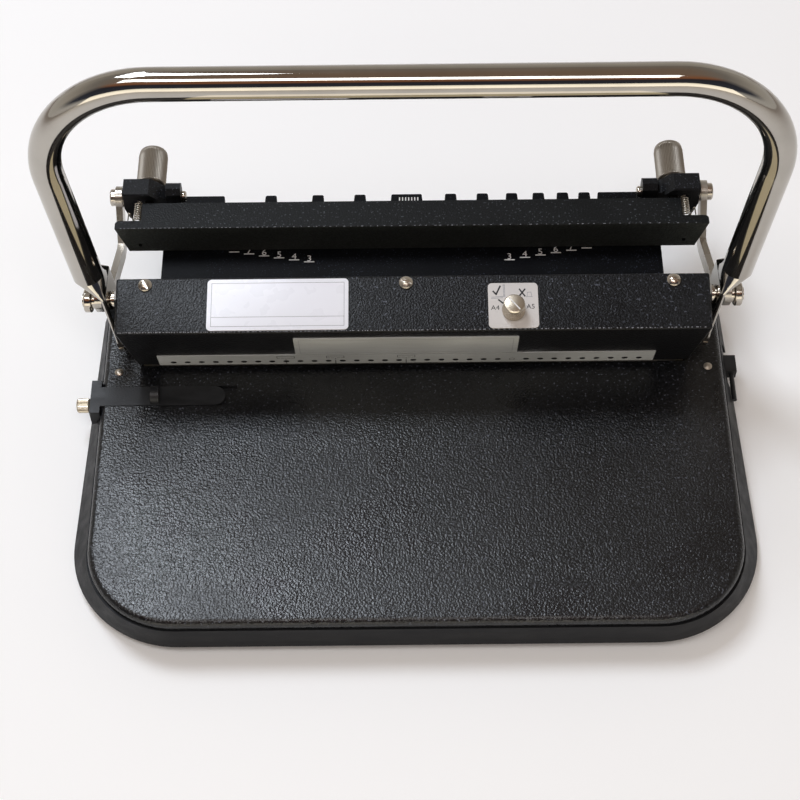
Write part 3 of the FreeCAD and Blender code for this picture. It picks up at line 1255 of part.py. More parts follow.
def make_chip_tray():
    outer = block(TRAY_LEFT_X, TRAY_RIGHT_X, TRAY_FRONT_Y, TRAY_BACK_Y, TRAY_LOW_Z, TRAY_TOP_Z)
    inner = block(TRAY_LEFT_X + TRAY_WALL, TRAY_RIGHT_X - TRAY_WALL, TRAY_FRONT_Y + TRAY_WALL,
                  TRAY_BACK_Y - TRAY_WALL, TRAY_LOW_Z + TRAY_WALL, TRAY_TOP_Z)
    return outer.cut(inner)


def make_tray_pull():
    mid_z = (PULL_LOW_Z + PULL_HIGH_Z) / 2
    grip = block(TRAY_RIGHT_X, PULL_OUT_X, PULL_FRONT_Y, PULL_BACK_Y, PULL_LOW_Z, PULL_HIGH_Z)
    rod = rod_y(PULL_ROD_END_Y, PULL_FRONT_Y, PULL_OUT_X - PULL_ROD_D, mid_z, PULL_ROD_D)
    return joined(grip, [rod])


# Places worked out from the sizes above
FLOOR_HALF = BLOCK_INNER_X + FLOOR_UNDER_BLOCK
RISER_X = FLOOR_HALF - RISER_IN
SPADE_X = HOOD_HALF_TOP + SPADE_HOOD_GAP
ARM_FOOT_X = SPADE_X + SPADE_OFFSET
SHAFT_SHOULDER_X = SPADE_X - SPADE_T / 2 - SPADE_PLAY
SPIGOT_HEAD_X = SPADE_X + SPADE_T / 2 + SPADE_PLAY
DIE_Z = TABLE_UNDER - DIE_FOOT_H
STOP_Y = PUNCH_Y + HOLE_MARGIN
PUNCH_BAR_Z = TABLE_Z + PUNCH_BAR_LIFT
YOKE_X = CRANK_ARM_X - YOKE_T - YOKE_CRANK_GAP
HOOD_FOOT = (HOOD_LIP_Y, TABLE_Z + HOOD_LIP)
HOOD_TOP_FRONT = (HOOD_TOP_FRONT_Y, TABLE_Z + HOOD_TOP_FRONT_H)
HOOD_TOP_BACK = (HOOD_TOP_BACK_Y, TABLE_Z + HOOD_TOP_BACK_H)
HOOD_BACK_FOOT = (HOOD_BACK_Y, TABLE_Z + HOOD_LIP)
TOP_ANGLE = math.atan2(HOOD_TOP_BACK[1] - HOOD_TOP_FRONT[1], HOOD_TOP_BACK[0] - HOOD_TOP_FRONT[0])
FACE_ANGLE = math.atan2(HOOD_TOP_FRONT[1] - HOOD_FOOT[1], HOOD_TOP_FRONT[0] - HOOD_FOOT[0])
TOP_LEN = math.hypot(HOOD_TOP_BACK[1] - HOOD_TOP_FRONT[1], HOOD_TOP_BACK[0] - HOOD_TOP_FRONT[0])
TIE_Z = hood_top_at(TIE_FRONT_Y) - TIE_DROP
JAW_Z = FLOOR_Z + JAW_GAP
BLOCK_Z = TABLE_Z + BLOCK_RISE
KNOB_FRONT_Y = BLOCK_BACK_Y + GAP
LUG_MID_Y = (LUG_FRONT_Y + BLOCK_BACK_Y) / 2
LUG_SCREW_Z = BLOCK_Z + LUG_H / 2
GUIDE_BLOCK_OUT_X = -TABLE_W / 2 - BASE_LIP - GAP - GUIDE_BLOCK_T
THUMB_HOLE_Z = TABLE_UNDER - THUMB_SHAFT_D / 2 - BASE_WALL / 2
TRAY_LOW_Z = BASE_Z + TRAY_LIFT
TRAY_TOP_Z = DIE_Z - TRAY_HEAD


def all_nodes():
    nodes = {
        "base_moulding": make_base_moulding(),
        "bottom_cover": make_bottom_cover(),
        "rubber_feet": make_rubber_feet(),
        "table_plate": make_table_plate(),
        "table_screws": make_table_screws(),
        "die_block": make_die_block(),
        "paper_stop": make_paper_stop(),
        "punch_guide": make_punch_guide(),
        "guide_screws": make_guide_screws(),
        "punch_bar": make_punch_bar(),
        "punch_cap": make_punch_cap(),
        "punch_pins": make_punch_pins(),
        "hood_tie_bar": make_hood_tie_bar(),
        "hood": make_hood(),
        "hood_screws": make_hood_screws(),
        "scale_strip": make_scale_strip(),
        "nameplate": make_nameplate(),
        "info_plate": make_info_plate(),
        "dial_plate": make_dial_plate(),
        "selector_knob": make_selector_knob(),
        "selector_shaft": make_selector_shaft(),
        "handle_tube": make_handle(),
        "closer_floor": make_closer_floor(),
        "riser_screws": make_riser_screws(),
        "jaw_bar": make_jaw_bar(),
        "side_guide": make_side_guide(),
        "guide_stop": make_guide_stop(),
        "guide_thumbscrew": make_thumbscrew(),
        "chip_tray": make_chip_tray(),
        "tray_pull": make_tray_pull(),
    }
    paired = {
        "yoke": make_yoke,
        "side_frame": make_side_frame,
        "pivot_bush": make_pivot_bush,
        "crank": make_crank,
        "link_pin": make_link_pin,
        "link": make_link,
        "closer_riser": make_riser,
        "jaw_stud": make_jaw_stud,
        "closer_block": make_closer_block,
        "lug_screw": make_lug_screw,
        "block_pin": make_block_pin,
        "adjust_knob": make_adjust_knob,
        "jaw_spring": make_jaw_spring,
    }
    for name, maker in paired.items():
        for word, side in SIDES.items():
            nodes[name + "_" + word] = maker(side)
    return nodes


def main():
    os.makedirs("parts", exist_ok=True)
    for name, made in all_nodes().items():
        shape = Part.makeCompound(made) if isinstance(made, list) else made
        shape.exportStep("parts/" + name + ".step")
        print(name, len(shape.Solids), shape.isValid(), round(shape.Volume, 1))


main()
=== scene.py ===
import math
import random

import bmesh
import bpy
from mathutils import Matrix, Vector


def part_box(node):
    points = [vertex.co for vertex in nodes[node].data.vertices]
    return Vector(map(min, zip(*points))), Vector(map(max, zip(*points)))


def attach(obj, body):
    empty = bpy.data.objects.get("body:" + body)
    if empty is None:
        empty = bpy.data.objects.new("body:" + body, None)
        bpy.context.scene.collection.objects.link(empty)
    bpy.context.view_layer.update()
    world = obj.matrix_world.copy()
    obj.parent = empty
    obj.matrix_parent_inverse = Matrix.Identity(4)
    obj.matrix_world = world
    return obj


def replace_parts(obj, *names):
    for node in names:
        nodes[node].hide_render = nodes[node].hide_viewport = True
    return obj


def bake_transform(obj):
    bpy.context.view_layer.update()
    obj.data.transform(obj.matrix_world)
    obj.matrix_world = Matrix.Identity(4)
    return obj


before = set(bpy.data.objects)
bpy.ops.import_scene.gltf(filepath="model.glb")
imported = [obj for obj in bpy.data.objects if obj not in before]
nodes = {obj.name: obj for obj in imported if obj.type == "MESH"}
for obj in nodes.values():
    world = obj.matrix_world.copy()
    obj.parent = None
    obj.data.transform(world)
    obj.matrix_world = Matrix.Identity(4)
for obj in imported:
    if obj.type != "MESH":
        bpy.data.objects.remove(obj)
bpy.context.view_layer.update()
scene = bpy.context.scene
MM = 0.001

# Places and sizes that the CAD source also uses, in millimetres
HOOD_FOOT = (20.5, 36.5)
HOOD_TOP_FRONT = (5.5, 89.0)
HOOD_TOP_BACK = (41.5, 95.0)
HOOD_SCREW_IN = 5.0
PLATE_T = 0.6
HOLE_PITCH = 25.4 / 3
HOLE_COUNT = 34
HOLE_MID_X = -4.3
BLANK_HOLE = 24
STRIP_UP = 0.6
STRIP_HOLE_UP = 4.8
NAMEPLATE_L = 131.5
NAMEPLATE_Y = (17.3, 45.3)
INFO_X = -78.5
INFO_L = 82.0
INFO_Y = (1.6, 34.6)
DIAL_X = 58.0
KNOB_UP = 12.0
SELECT_LIFT = 0.3
SELECT_H = 10.0
TABLE_SCREW_X = 178.0
TABLE_SCREW_Y = 18.0
TABLE_Z = 32.0
FLOOR_Z = 58.0
SPRING_X = 167.0
SPRING_Z = 78.0

# Thickness of ink and of the painted edge highlights, in millimetres, and how far a printed line runs
# past its ends, as a share of half its width
PRINT_T = 0.04
LINE_PAST = 0.98

# Faces of a turning that meet at less than this many degrees are smoothed together
TURNED_SMOOTH = 28

# Points closer than this are merged, in metres, and a smaller radius than this is a point on the axis
MERGE_DIST = 1e-7
ON_AXIS = 1e-6

# Corners of a square about the origin, in order
SQUARE = ((-1, -1), (1, -1), (1, 1), (-1, 1))


# Materials

# Sockets of a Mix node that mixes colours
MIX_FIRST, MIX_SECOND, MIX_RESULT = 6, 7, 2


def material(name, color, rough, metal=0.0, spec=0.5):
    mat = bpy.data.materials.new(name)
    mat.use_nodes = True
    tree = mat.node_tree
    bsdf = tree.nodes["Principled BSDF"]
    bsdf.inputs["Base Color"].default_value = (*color, 1)
    bsdf.inputs["Roughness"].default_value = rough
    bsdf.inputs["Metallic"].default_value = metal
    bsdf.inputs["Specular IOR Level"].default_value = spec
    return mat, tree, bsdf


def scaled(color, factor):
    return tuple(c * factor for c in color)


def coords(tree, stretch=(1, 1, 1)):
    tex = tree.nodes.new("ShaderNodeTexCoord")
    mapping = tree.nodes.new("ShaderNodeMapping")
    mapping.inputs["Scale"].default_value = stretch
    tree.links.new(tex.outputs["Object"], mapping.inputs["Vector"])
    return mapping.outputs["Vector"]


def noise(tree, where, scale, detail=2.0, rough=0.5):
    node = tree.nodes.new("ShaderNodeTexNoise")
    node.inputs["Scale"].default_value = scale
    node.inputs["Detail"].default_value = detail
    node.inputs["Roughness"].default_value = rough
    tree.links.new(where, node.inputs["Vector"])
    return node.outputs["Fac"]


def ramp(tree, value, stops):
    node = tree.nodes.new("ShaderNodeValToRGB")
    elements = node.color_ramp.elements
    while len(elements) < len(stops):
        elements.new(0.5)
    for element, (place, color) in zip(elements, stops):
        element.position = place
        element.color = (*color, 1)
    tree.links.new(value, node.inputs["Fac"])
    return node.outputs["Color"]


def spread(tree, value, low, high, start=0.3, stop=0.7):
    node = tree.nodes.new("ShaderNodeMapRange")
    node.inputs["From Min"].default_value = start
    node.inputs["From Max"].default_value = stop
    node.inputs["To Min"].default_value = low
    node.inputs["To Max"].default_value = high
    tree.links.new(value, node.inputs["Value"])
    return node.outputs["Result"]


def math_node(tree, operation, first, second):
    node = tree.nodes.new("ShaderNodeMath")
    node.operation = operation
    tree.links.new(first, node.inputs[0])
    tree.links.new(second, node.inputs[1])
    return node.outputs["Value"]


def bump(tree, bsdf, height, strength, distance):
    node = tree.nodes.new("ShaderNodeBump")
    node.inputs["Strength"].default_value = strength
    node.inputs["Distance"].default_value = distance
    tree.links.new(height, node.inputs["Height"])
    tree.links.new(node.outputs["Normal"], bsdf.inputs["Normal"])


def blend_colors(tree, factor, first, second):
    node = tree.nodes.new("ShaderNodeMix")
    node.data_type = "RGBA"
    tree.links.new(factor, node.inputs["Factor"])
    tree.links.new(first, node.inputs[MIX_FIRST])
    tree.links.new(second, node.inputs[MIX_SECOND])
    return node.outputs[MIX_RESULT]


def upward(tree):
    # 0 on upright and hanging faces, 1 on level ones.
    geometry = tree.nodes.new("ShaderNodeNewGeometry")
    axes = tree.nodes.new("ShaderNodeSeparateXYZ")
    tree.links.new(geometry.outputs["Normal"], axes.inputs["Vector"])
    return spread(tree, axes.outputs["Z"], 0.0, 1.0, start=0.15, stop=0.8)


# Scale of the patches and the specks against the pimples, and how much brighter than the dust a painted
# glint is
PATCH_SCALE = 1 / 40
SPECK_SCALE = 0.8
GLINT_GAIN = 10


def grained_paint(name, dark, light, grain, rough, depth, spec, painted_front_light=None):
    # Black powder coat: close pimples under a satin film. Level faces: dust and painted top light grey
    # the pimples' tops, and flecks are painted glints. Upright faces get painted shade, or a paler
    # painted front light.
    mat, tree, bsdf = material(name, dark, rough, spec=spec)
    where = coords(tree)
    pimples = noise(tree, where, grain, detail=1.0)
    patches = noise(tree, where, grain * PATCH_SCALE)
    specks = noise(tree, where, grain * SPECK_SCALE, detail=0.0)
    middle = tuple(0.5 * (d + c) for d, c in zip(dark, light))
    # Upright faces: painted front light where a colour is given, else painted shade darker than level
    # faces
    if painted_front_light:
        upright = ramp(tree, pimples, [(0.35, scaled(painted_front_light, 0.7)), (0.65, painted_front_light)])
    else:
        upright = ramp(tree, pimples, [(0.44, dark), (0.70, scaled(light, 0.4))])
    # Level faces: dust and painted top light on the pimples' tops
    dust_and_top_light = ramp(tree, pimples, [(0.44, dark), (0.53, middle), (0.66, light)])
    # Scattered bright flecks on level faces: painted glints
    glint_mask = ramp(tree, specks, [(0.71, (0, 0, 0)), (0.77, (1, 1, 1))])
    painted_glint = ramp(tree, patches, [(0.3, light), (0.7, scaled(light, GLINT_GAIN))])
    level = blend_colors(tree, glint_mask, dust_and_top_light, painted_glint)
    color = blend_colors(tree, upward(tree), upright, level)
    tree.links.new(color, bsdf.inputs["Base Color"])
    tree.links.new(spread(tree, patches, rough - 0.04, rough + 0.07), bsdf.inputs["Roughness"])
    bump(tree, bsdf, pimples, 1.0, depth)
    return mat


def satin_plastic(name, color, rough, spec=0.16):
    # Moulded plastic with a fine texture and long, faint smears.
    mat, tree, bsdf = material(name, color, rough, spec=spec)
    fine = noise(tree, coords(tree), 1800)
    smear = noise(tree, coords(tree, (1, 3, 3)), 40, detail=4.0, rough=0.6)
    smeared = ramp(tree, smear, [(0.35, color), (0.75, scaled(color, 2.2))])
    tree.links.new(smeared, bsdf.inputs["Base Color"])
    tree.links.new(spread(tree, smear, rough - 0.08, rough + 0.12), bsdf.inputs["Roughness"])
    bump(tree, bsdf, fine, 0.4, 0.00015)
    return mat


def plated(name, color, rough, scale, depth, streak=(1, 1, 1), metal=1.0):
    # Bright plating with faint drag marks and hand smears.
    mat, tree, bsdf = material(name, color, rough, metal=metal)
    marks = noise(tree, coords(tree, streak), scale, detail=4.0, rough=0.6)
    smear = noise(tree, coords(tree), 18)
    marked = ramp(tree, marks, [(0.35, scaled(color, 0.92)), (0.6, color)])
    tree.links.new(marked, bsdf.inputs["Base Color"])
    smeared = spread(tree, smear, rough * 0.7, rough * 1.8 + 0.02)
    tree.links.new(smeared, bsdf.inputs["Roughness"])
    bump(tree, bsdf, marks, depth, 0.0001)
    return mat


def rubber_like(name, color):
    mat, tree, bsdf = material(name, color, 0.8, spec=0.3)
    where = coords(tree)
    cloudy = ramp(tree, noise(tree, where, 60), [(0.3, color), (0.8, scaled(color, 1.6))])
    tree.links.new(cloudy, bsdf.inputs["Base Color"])
    bump(tree, bsdf, noise(tree, where, 900), 0.3, 0.0002)
    return mat


def gloss_label(name, color, tint):
    # A varnished plate whose white drifts towards a tint.
    mat, tree, bsdf = material(name, color, 0.3, spec=0.4)
    where = coords(tree)
    drifting = ramp(tree, noise(tree, where, 9, detail=0.0), [(0.3, tint), (0.7, color)])
    tree.links.new(drifting, bsdf.inputs["Base Color"])
    tree.links.new(spread(tree, noise(tree, where, 90), 0.22, 0.38), bsdf.inputs["Roughness"])
    bsdf.inputs["Coat Weight"].default_value = 0.3
    bsdf.inputs["Coat Roughness"].default_value = 0.1
    return mat


def printed(name, color, rough=0.45):
    # Ink with a slightly uneven film.
    mat, tree, bsdf = material(name, color, rough)
    faded = tuple(c * 0.8 + 0.01 for c in color)
    film = ramp(tree, noise(tree, coords(tree), 700), [(0.35, faded), (0.6, color)])
    tree.links.new(film, bsdf.inputs["Base Color"])
    return mat


PAINT_DARK = (0.0018, 0.0020, 0.0026)
PAINT_LIGHT = (0.0095, 0.0104, 0.0130)
PAINT = grained_paint(
    "paint_table", PAINT_DARK, PAINT_LIGHT, grain=820, rough=0.27, depth=0.00034, spec=0.5)
PAINT_HOOD = grained_paint(
    "paint_hood", PAINT_DARK, PAINT_LIGHT, grain=900, rough=0.33, depth=0.00028, spec=0.22)
# The jaw's upright faces are painted far paler than its top, as painted light from the front
PAINT_JAW = grained_paint(
    "paint_jaw", (0.0050, 0.0058, 0.0062), (0.0085, 0.0097, 0.0108),
    grain=1000, rough=0.38, depth=0.00020, spec=0.16, painted_front_light=(0.043, 0.047, 0.043))
PAINT_FLOOR = grained_paint(
    "paint_floor", (0.0010, 0.0013, 0.0020), (0.003, 0.0035, 0.005),
    grain=1500, rough=0.42, depth=0.00008, spec=0.10)
CAST = grained_paint(
    "paint_casting", (0.0020, 0.0023, 0.0030), (0.009, 0.010, 0.0125),
    grain=1300, rough=0.42, depth=0.00014, spec=0.18)
SKIRT = satin_plastic("plastic_skirt", (0.0040, 0.0044, 0.0054), 0.48)
BLACK = satin_plastic("plastic_black", (0.0100, 0.0108, 0.0125), 0.42, spec=0.40)
COVER = satin_plastic("plastic_cover", (0.010, 0.010, 0.010), 0.5)
CHROME = plated("chrome_handle", (0.47, 0.445, 0.405), 0.045, scale=40, depth=0.02)
BRIGHT = plated("chrome_pins", (0.50, 0.46, 0.405), 0.12, scale=300, depth=0.03)
NICKEL = plated("nickel_knobs", (0.34, 0.305, 0.262), 0.43, scale=700, depth=0.06, streak=(8, 1, 8))
SELECT = plated("nickel_selector", (0.54, 0.48, 0.39), 0.27, scale=500, depth=0.15, streak=(6, 6, 1))
SCREW = plated("nickel_screws", (0.50, 0.45, 0.385), 0.30, scale=300, depth=0.03)
ZINC = plated("plated_links", (0.46, 0.43, 0.385), 0.20, scale=420, depth=0.10, streak=(1, 0.2, 1))
SPRING = plated("spring_wire", (0.52, 0.48, 0.41), 0.26, scale=600, depth=0.05)
STEEL = plated("steel_ground", (0.42, 0.415, 0.41), 0.34, scale=500, depth=0.16, streak=(0.15, 1, 1))
BRASS = plated("brass_thumbscrew", (0.58, 0.525, 0.43), 0.24, scale=500, depth=0.15, streak=(8, 1, 1))
SILVER = plated(
    "silver_plate", (0.53, 0.545, 0.545), 0.48, scale=900, depth=0.10, streak=(0.06, 1, 1), metal=0.30)
WHITE = gloss_label("label_white", (0.78, 0.78, 0.825), (0.735, 0.735, 0.79))
DIAL = gloss_label("label_dial", (0.63, 0.605, 0.59), (0.58, 0.555, 0.54))
RUBBER = rubber_like("rubber_feet", (0.014, 0.014, 0.014))
INK = printed("ink_black", (0.008, 0.008, 0.010))
INK_GREY = printed("ink_grey", (0.34, 0.34, 0.36))
INK_WHITE = printed("ink_white", (0.78, 0.78, 0.77))
# Painted highlight for the dashes along the bent edges
EDGE_HIGHLIGHT = printed("painted_edge_highlight", (0.19, 0.20, 0.225), rough=0.35)

# The nodes that wear each material; a left and right pair goes by its common name
LOOKS = (
    (SKIRT, ("base_moulding",)),
    (COVER, ("bottom_cover",)),
    (RUBBER, ("rubber_feet",)),
    (PAINT, ("table_plate",)),
    (PAINT_HOOD, ("hood",)),
    (PAINT_JAW, ("jaw_bar",)),
    (PAINT_FLOOR, ("closer_floor",)),
    (CAST, ("closer_riser", "closer_block")),
    (BLACK, ("side_guide", "guide_stop", "chip_tray", "tray_pull")),
    (CHROME, ("handle_tube",)),
    (BRIGHT, ("link_pin", "lug_screw", "block_pin")),
    (NICKEL, ("adjust_knob",)),
    (SELECT, ("selector_knob",)),
    (SCREW, ("table_screws", "hood_screws")),
    (ZINC, ("guide_screws", "riser_screws", "side_frame", "crank", "link", "jaw_stud")),
    (SPRING, ("jaw_spring",)),
    (STEEL, ("die_block", "paper_stop", "punch_guide", "punch_bar", "punch_cap", "punch_pins")),
    (STEEL, ("hood_tie_bar", "selector_shaft", "yoke")),
    (BRASS, ("guide_thumbscrew", "pivot_bush")),
    (SILVER, ("scale_strip", "nameplate")),
    (WHITE, ("info_plate",)),
    (DIAL, ("dial_plate",)),
)
look_of = {name: look for look, names in LOOKS for name in names}
for name, obj in nodes.items():
    look = look_of.get(name) or look_of[name.rsplit("_", 1)[0]]
    obj.data.materials.clear()
    obj.data.materials.append(look)


# Mesh helpers

def plain_object(name, verts, faces):
    mesh = bpy.data.meshes.new(name)
    mesh.from_pydata(verts, [], faces)
    obj = bpy.data.objects.new(name, mesh)
    scene.collection.objects.link(obj)
    return obj


def new_piece(name, verts, faces, mat, body, slot, smooth_angle=None):
    # A visible piece, from points in millimetres. It rides a body unless body is None.
    obj = plain_object(name, [Vector(v) * MM for v in verts], faces)
    mesh = obj.data
    bm = bmesh.new()
    bm.from_mesh(mesh)
    bmesh.ops.remove_doubles(bm, verts=bm.verts, dist=MERGE_DIST)
    bmesh.ops.recalc_face_normals(bm, faces=bm.faces)
    bm.to_mesh(mesh)
    bm.free()
    mesh.materials.append(mat)
    if smooth_angle:
        mesh.shade_smooth()
        mesh.set_sharp_from_angle(angle=math.radians(smooth_angle))
    if body:
        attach(obj, body)
    return obj


def evaluated_mesh(obj):
    bpy.context.view_layer.update()
    depsgraph = bpy.context.evaluated_depsgraph_get()
    return bpy.data.meshes.new_from_object(obj.evaluated_get(depsgraph))


def moved(x, y, z):
    return Matrix.Translation(Vector((x, y, z)))


def tilt(start, stop):
    # The plane whose Y runs from start to stop, both given as (y, z).
    angle = math.atan2(stop[1] - start[1], stop[0] - start[0])
    return moved(0, *start) @ Matrix.Rotation(angle, 4, "X")


ON_TOP = tilt(HOOD_TOP_FRONT, HOOD_TOP_BACK)
ON_FACE = tilt(HOOD_FOOT, HOOD_TOP_FRONT)
ON_FLOOR = moved(0, 0, FLOOR_Z)


class Print:
    """Thin inked shapes gathered into one mesh, drawn flat and laid on a plane."""

    def __init__(self, plane, lift):
        self.plane = plane
        self.lift = lift
        self.verts = []
        self.faces = []

    def patch(self, points):
        start = len(self.verts)
        count = len(points)
        for z in (self.lift, self.lift + PRINT_T):
            self.verts += [self.plane @ Vector((x, y, z)) for x, y in points]
        low = list(range(start, start + count))
        high = list(range(start + count, start + 2 * count))
        self.faces += [low[::-1], high]
        for i in range(count):
            j = (i + 1) % count
            self.faces.append([low[i], low[j], high[j], high[i]])

    def line(self, points, width, closed=False):
        ends = points[1:] + points[:1] if closed else points[1:]
        for a, b in zip(points, ends):
            a, b = Vector(a), Vector(b)
            along = (b - a).normalized() * (width / 2)
            side = Vector((-along.y, along.x))
            a, b = a - along * LINE_PAST, b + along * LINE_PAST
            self.patch([tuple(p) for p in (a - side, b - side, b + side, a + side)])

    def strokes(self, x, y, table):
        # Lines about a point, from rows of a width and the line's points.
        for width, points in table:
            self.line([(x + dx, y + dy) for dx, dy in points], width)

    def ring(self, x, y, outer, inner, steps=28):
        turn = [2 * math.pi * i / steps for i in range(steps)]
        for a, b in zip(turn, turn[1:] + turn[:1]):
            corners = [(x + r * math.cos(t), y + r * math.sin(t))
                       for r, t in ((inner, a), (outer, a), (outer, b), (inner, b))]
            self.patch(corners)

    def text(self, words, x, y, size):
        curve = bpy.data.curves.new("print_text", "FONT")
        curve.body = words
        curve.size = size
        curve.align_x = "CENTER"
        curve.align_y = "CENTER"
        curve.extrude = PRINT_T / 2
        holder = bpy.data.objects.new("print_text", curve)
        scene.collection.objects.link(holder)
        mesh = evaluated_mesh(holder)
        spot = self.plane @ moved(x, y, self.lift + PRINT_T / 2)
        start = len(self.verts)
        self.verts += [spot @ v.co for v in mesh.vertices]
        self.faces += [[start + i for i in p.vertices] for p in mesh.polygons]
        bpy.data.objects.remove(holder)
        bpy.data.meshes.remove(mesh)
        bpy.data.curves.remove(curve)

    def piece(self, name, mat, body, slot):
        return new_piece(name, self.verts, self.faces, mat, body, slot)


def between(rings):
    # Faces between neighbouring rings of the same count. A ring that is one point repeated makes a fan.
    faces = []
    for low, high in zip(rings, rings[1:]):
        for i in range(len(low)):
            j = (i + 1) % len(low)
            face = [low[i], low[j], high[j], high[i]]
            face = [v for k, v in enumerate(face) if v not in face[:k]]
            if len(face) > 2:
                faces.append(face)
    return faces


# Points around a turning to each tooth of its knurling, and how deep each lies as a share of the tooth
PER_TOOTH = 4
TOOTH_WAVE = (1.0, 0.5, 0.0, 0.5)


def lathe(profile, count, tooth_depth=0.0):
    # A turning about Z through (height, radius, knurled) stations, from the axis back to the axis.
    verts, rings = [], []
    for height, radius, knurled in profile:
        if radius < ON_AXIS:
            rings.append([len(verts)] * count)
            verts.append(Vector((0, 0, height)))
            continue
        rings.append(range(len(verts), len(verts) + count))
        for i in range(count):
            a = 2 * math.pi * i / count
            r = radius - (tooth_depth * TOOTH_WAVE[i % PER_TOOTH] if knurled else 0)
            verts.append(Vector((r * math.cos(a), r * math.sin(a), height)))
    return verts, between(rings)


def turned(name, profile, place, mat, body, slot, teeth, tooth_depth):
    verts, faces = lathe(profile, teeth * PER_TOOTH, tooth_depth)
    return new_piece(name, [place @ v for v in verts], faces, mat, body, slot, TURNED_SMOOTH)


def swept(path, radius, sides=10):
    # A round wire along a path, its section carried on from point to point.
    verts, rings = [], []
    last = len(path) - 1
    side = None
    turn = [2 * math.pi * k / sides for k in range(sides)]
    for i, p in enumerate(path):
        ahead = (path[min(i + 1, last)] - path[max(i - 1, 0)]).normalized()
        side = ahead.orthogonal() if side is None else side - ahead * side.dot(ahead)
        side.normalize()
        up = ahead.cross(side)
        rings.append(range(len(verts), len(verts) + sides))
        verts += [p + (side * math.cos(a) + up * math.sin(a)) * radius for a in turn]
    ends = [list(rings[0])[::-1], list(rings[-1])]
    return verts, between(rings) + ends


BOX_FACES = ((3, 2, 1, 0), (4, 5, 6, 7), (0, 1, 5, 4), (1, 2, 6, 5), (2, 3, 7, 6), (3, 0, 4, 7))
RIM_SHARE = 0.3
RIM_EDGE = 0.1
DOME_STEPS = 12
DOME_SIDES = 48
SAW_OVER = 1


def domed_screw(head_r, head_h, shank_r, depth, slot_w=0, slot_h=0):
    # A dome with a low upright rim on a shank, with a saw slot where slot_w isn't 0.
    rise = head_h - head_h * RIM_SHARE
    ball = (head_r ** 2 + rise ** 2) / (2 * rise)
    reach = math.asin(head_r / ball)
    profile = [(-depth, 0, 0), (-depth, shank_r, 0), (0, shank_r, 0)]
    profile += [(0, head_r - RIM_EDGE, 0), (RIM_EDGE, head_r, 0)]
    for i in range(DOME_STEPS + 1):
        a = reach * (1 - i / DOME_STEPS)
        profile.append((head_h - ball + ball * math.cos(a), ball * math.sin(a), 0))
    dome = plain_object("screw_dome", *lathe(profile, DOME_SIDES))
    saw = None
    if slot_w:
        x, y = 2 * head_r, slot_w / 2
        heights = (head_h - slot_h, head_h + SAW_OVER)
        corners = [(i * x, j * y, z) for z in heights for i, j in SQUARE]
        saw = plain_object("screw_saw", corners, BOX_FACES)
        cut = dome.modifiers.new("slot", "BOOLEAN")
        cut.object = saw
        cut.operation = "DIFFERENCE"
        cut.solver = "EXACT"
    mesh = evaluated_mesh(dome)
    verts = [v.co.copy() for v in mesh.vertices]
    faces = [list(f.vertices) for f in mesh.polygons]
    bpy.data.objects.remove(dome)
    if saw:
        bpy.data.objects.remove(saw)
    return verts, faces


def screws(name, node, head, places):
    verts, faces = [], []
    head_verts, head_faces = domed_screw(**head)
    for place in places:
        start = len(verts)
        verts += [place @ v for v in head_verts]
        faces += [[start + i for i in f] for f in head_faces]
    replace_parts(new_piece(name, verts, faces, SCREW, "base", "nickel", TURNED_SMOOTH), node)


# Knurled knobs and domed screws, in the places of their plain CAD turnings

# Adjusting knobs: the stud's bore and the neck, then rows of distance past the neck or before the end,
# depth below the grip's radius, and whether the row is knurled
KNOB_BORE_R = 3.05
KNOB_BORE_L = 19
KNOB_NECK_R = 7.0
KNOB_NECK_L = 2.0
KNOB_NECK_EDGE = 0.4
KNOB_SHOULDER = ((0.0, 1.0, 0), (0.5, 0.35, 0), (1.0, 0.15, 1), (1.2, 0.0, 1))
KNOB_END = ((2.7, 0.15, 1), (2.2, 0.3, 0), (0.9, 0.3, 0), (0.35, 0.5, 0), (0.0, 1.1, 0))
KNOB_GRIP_IN = (3.2, 3.0)
KNOB_GRIP_ROWS = 8
KNOB_TEETH = 56
KNOB_TOOTH_DEPTH = 0.42


def adjust_knob(word):
    low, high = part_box("adjust_knob_" + word)
    x, y, z = (low.x + high.x) / 2 / MM, low.y / MM, (low.z + high.z) / 2 / MM
    length, r = high.y / MM - y, (high.x - low.x) / 2 / MM
    grip = length - sum(KNOB_GRIP_IN)
    profile = [(KNOB_BORE_L, 0, 0), (KNOB_BORE_L, KNOB_BORE_R, 0), (0, KNOB_BORE_R, 0)]
    profile += [(0, KNOB_NECK_R - KNOB_NECK_EDGE, 0), (KNOB_NECK_EDGE, KNOB_NECK_R, 0)]
    profile += [(KNOB_NECK_L, KNOB_NECK_R, 0)]
    profile += [(KNOB_NECK_L + past, r - below, knurled) for past, below, knurled in KNOB_SHOULDER]
    profile += [(KNOB_GRIP_IN[0] + grip * k / KNOB_GRIP_ROWS, r, 1) for k in range(1, KNOB_GRIP_ROWS + 1)]
    profile += [(length - before, r - below, knurled) for before, below, knurled in KNOB_END]
    profile += [(length, 0, 0)]
    place = moved(x, y, z) @ Matrix.Rotation(-math.pi / 2, 4, "X")
    knob = turned("knurled_knob_" + word, profile, place, NICKEL, "knob_" + word, "nickel",
                  KNOB_TEETH, KNOB_TOOTH_DEPTH)
    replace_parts(knob, "adjust_knob_" + word)


adjust_knob("left")
adjust_knob("right")

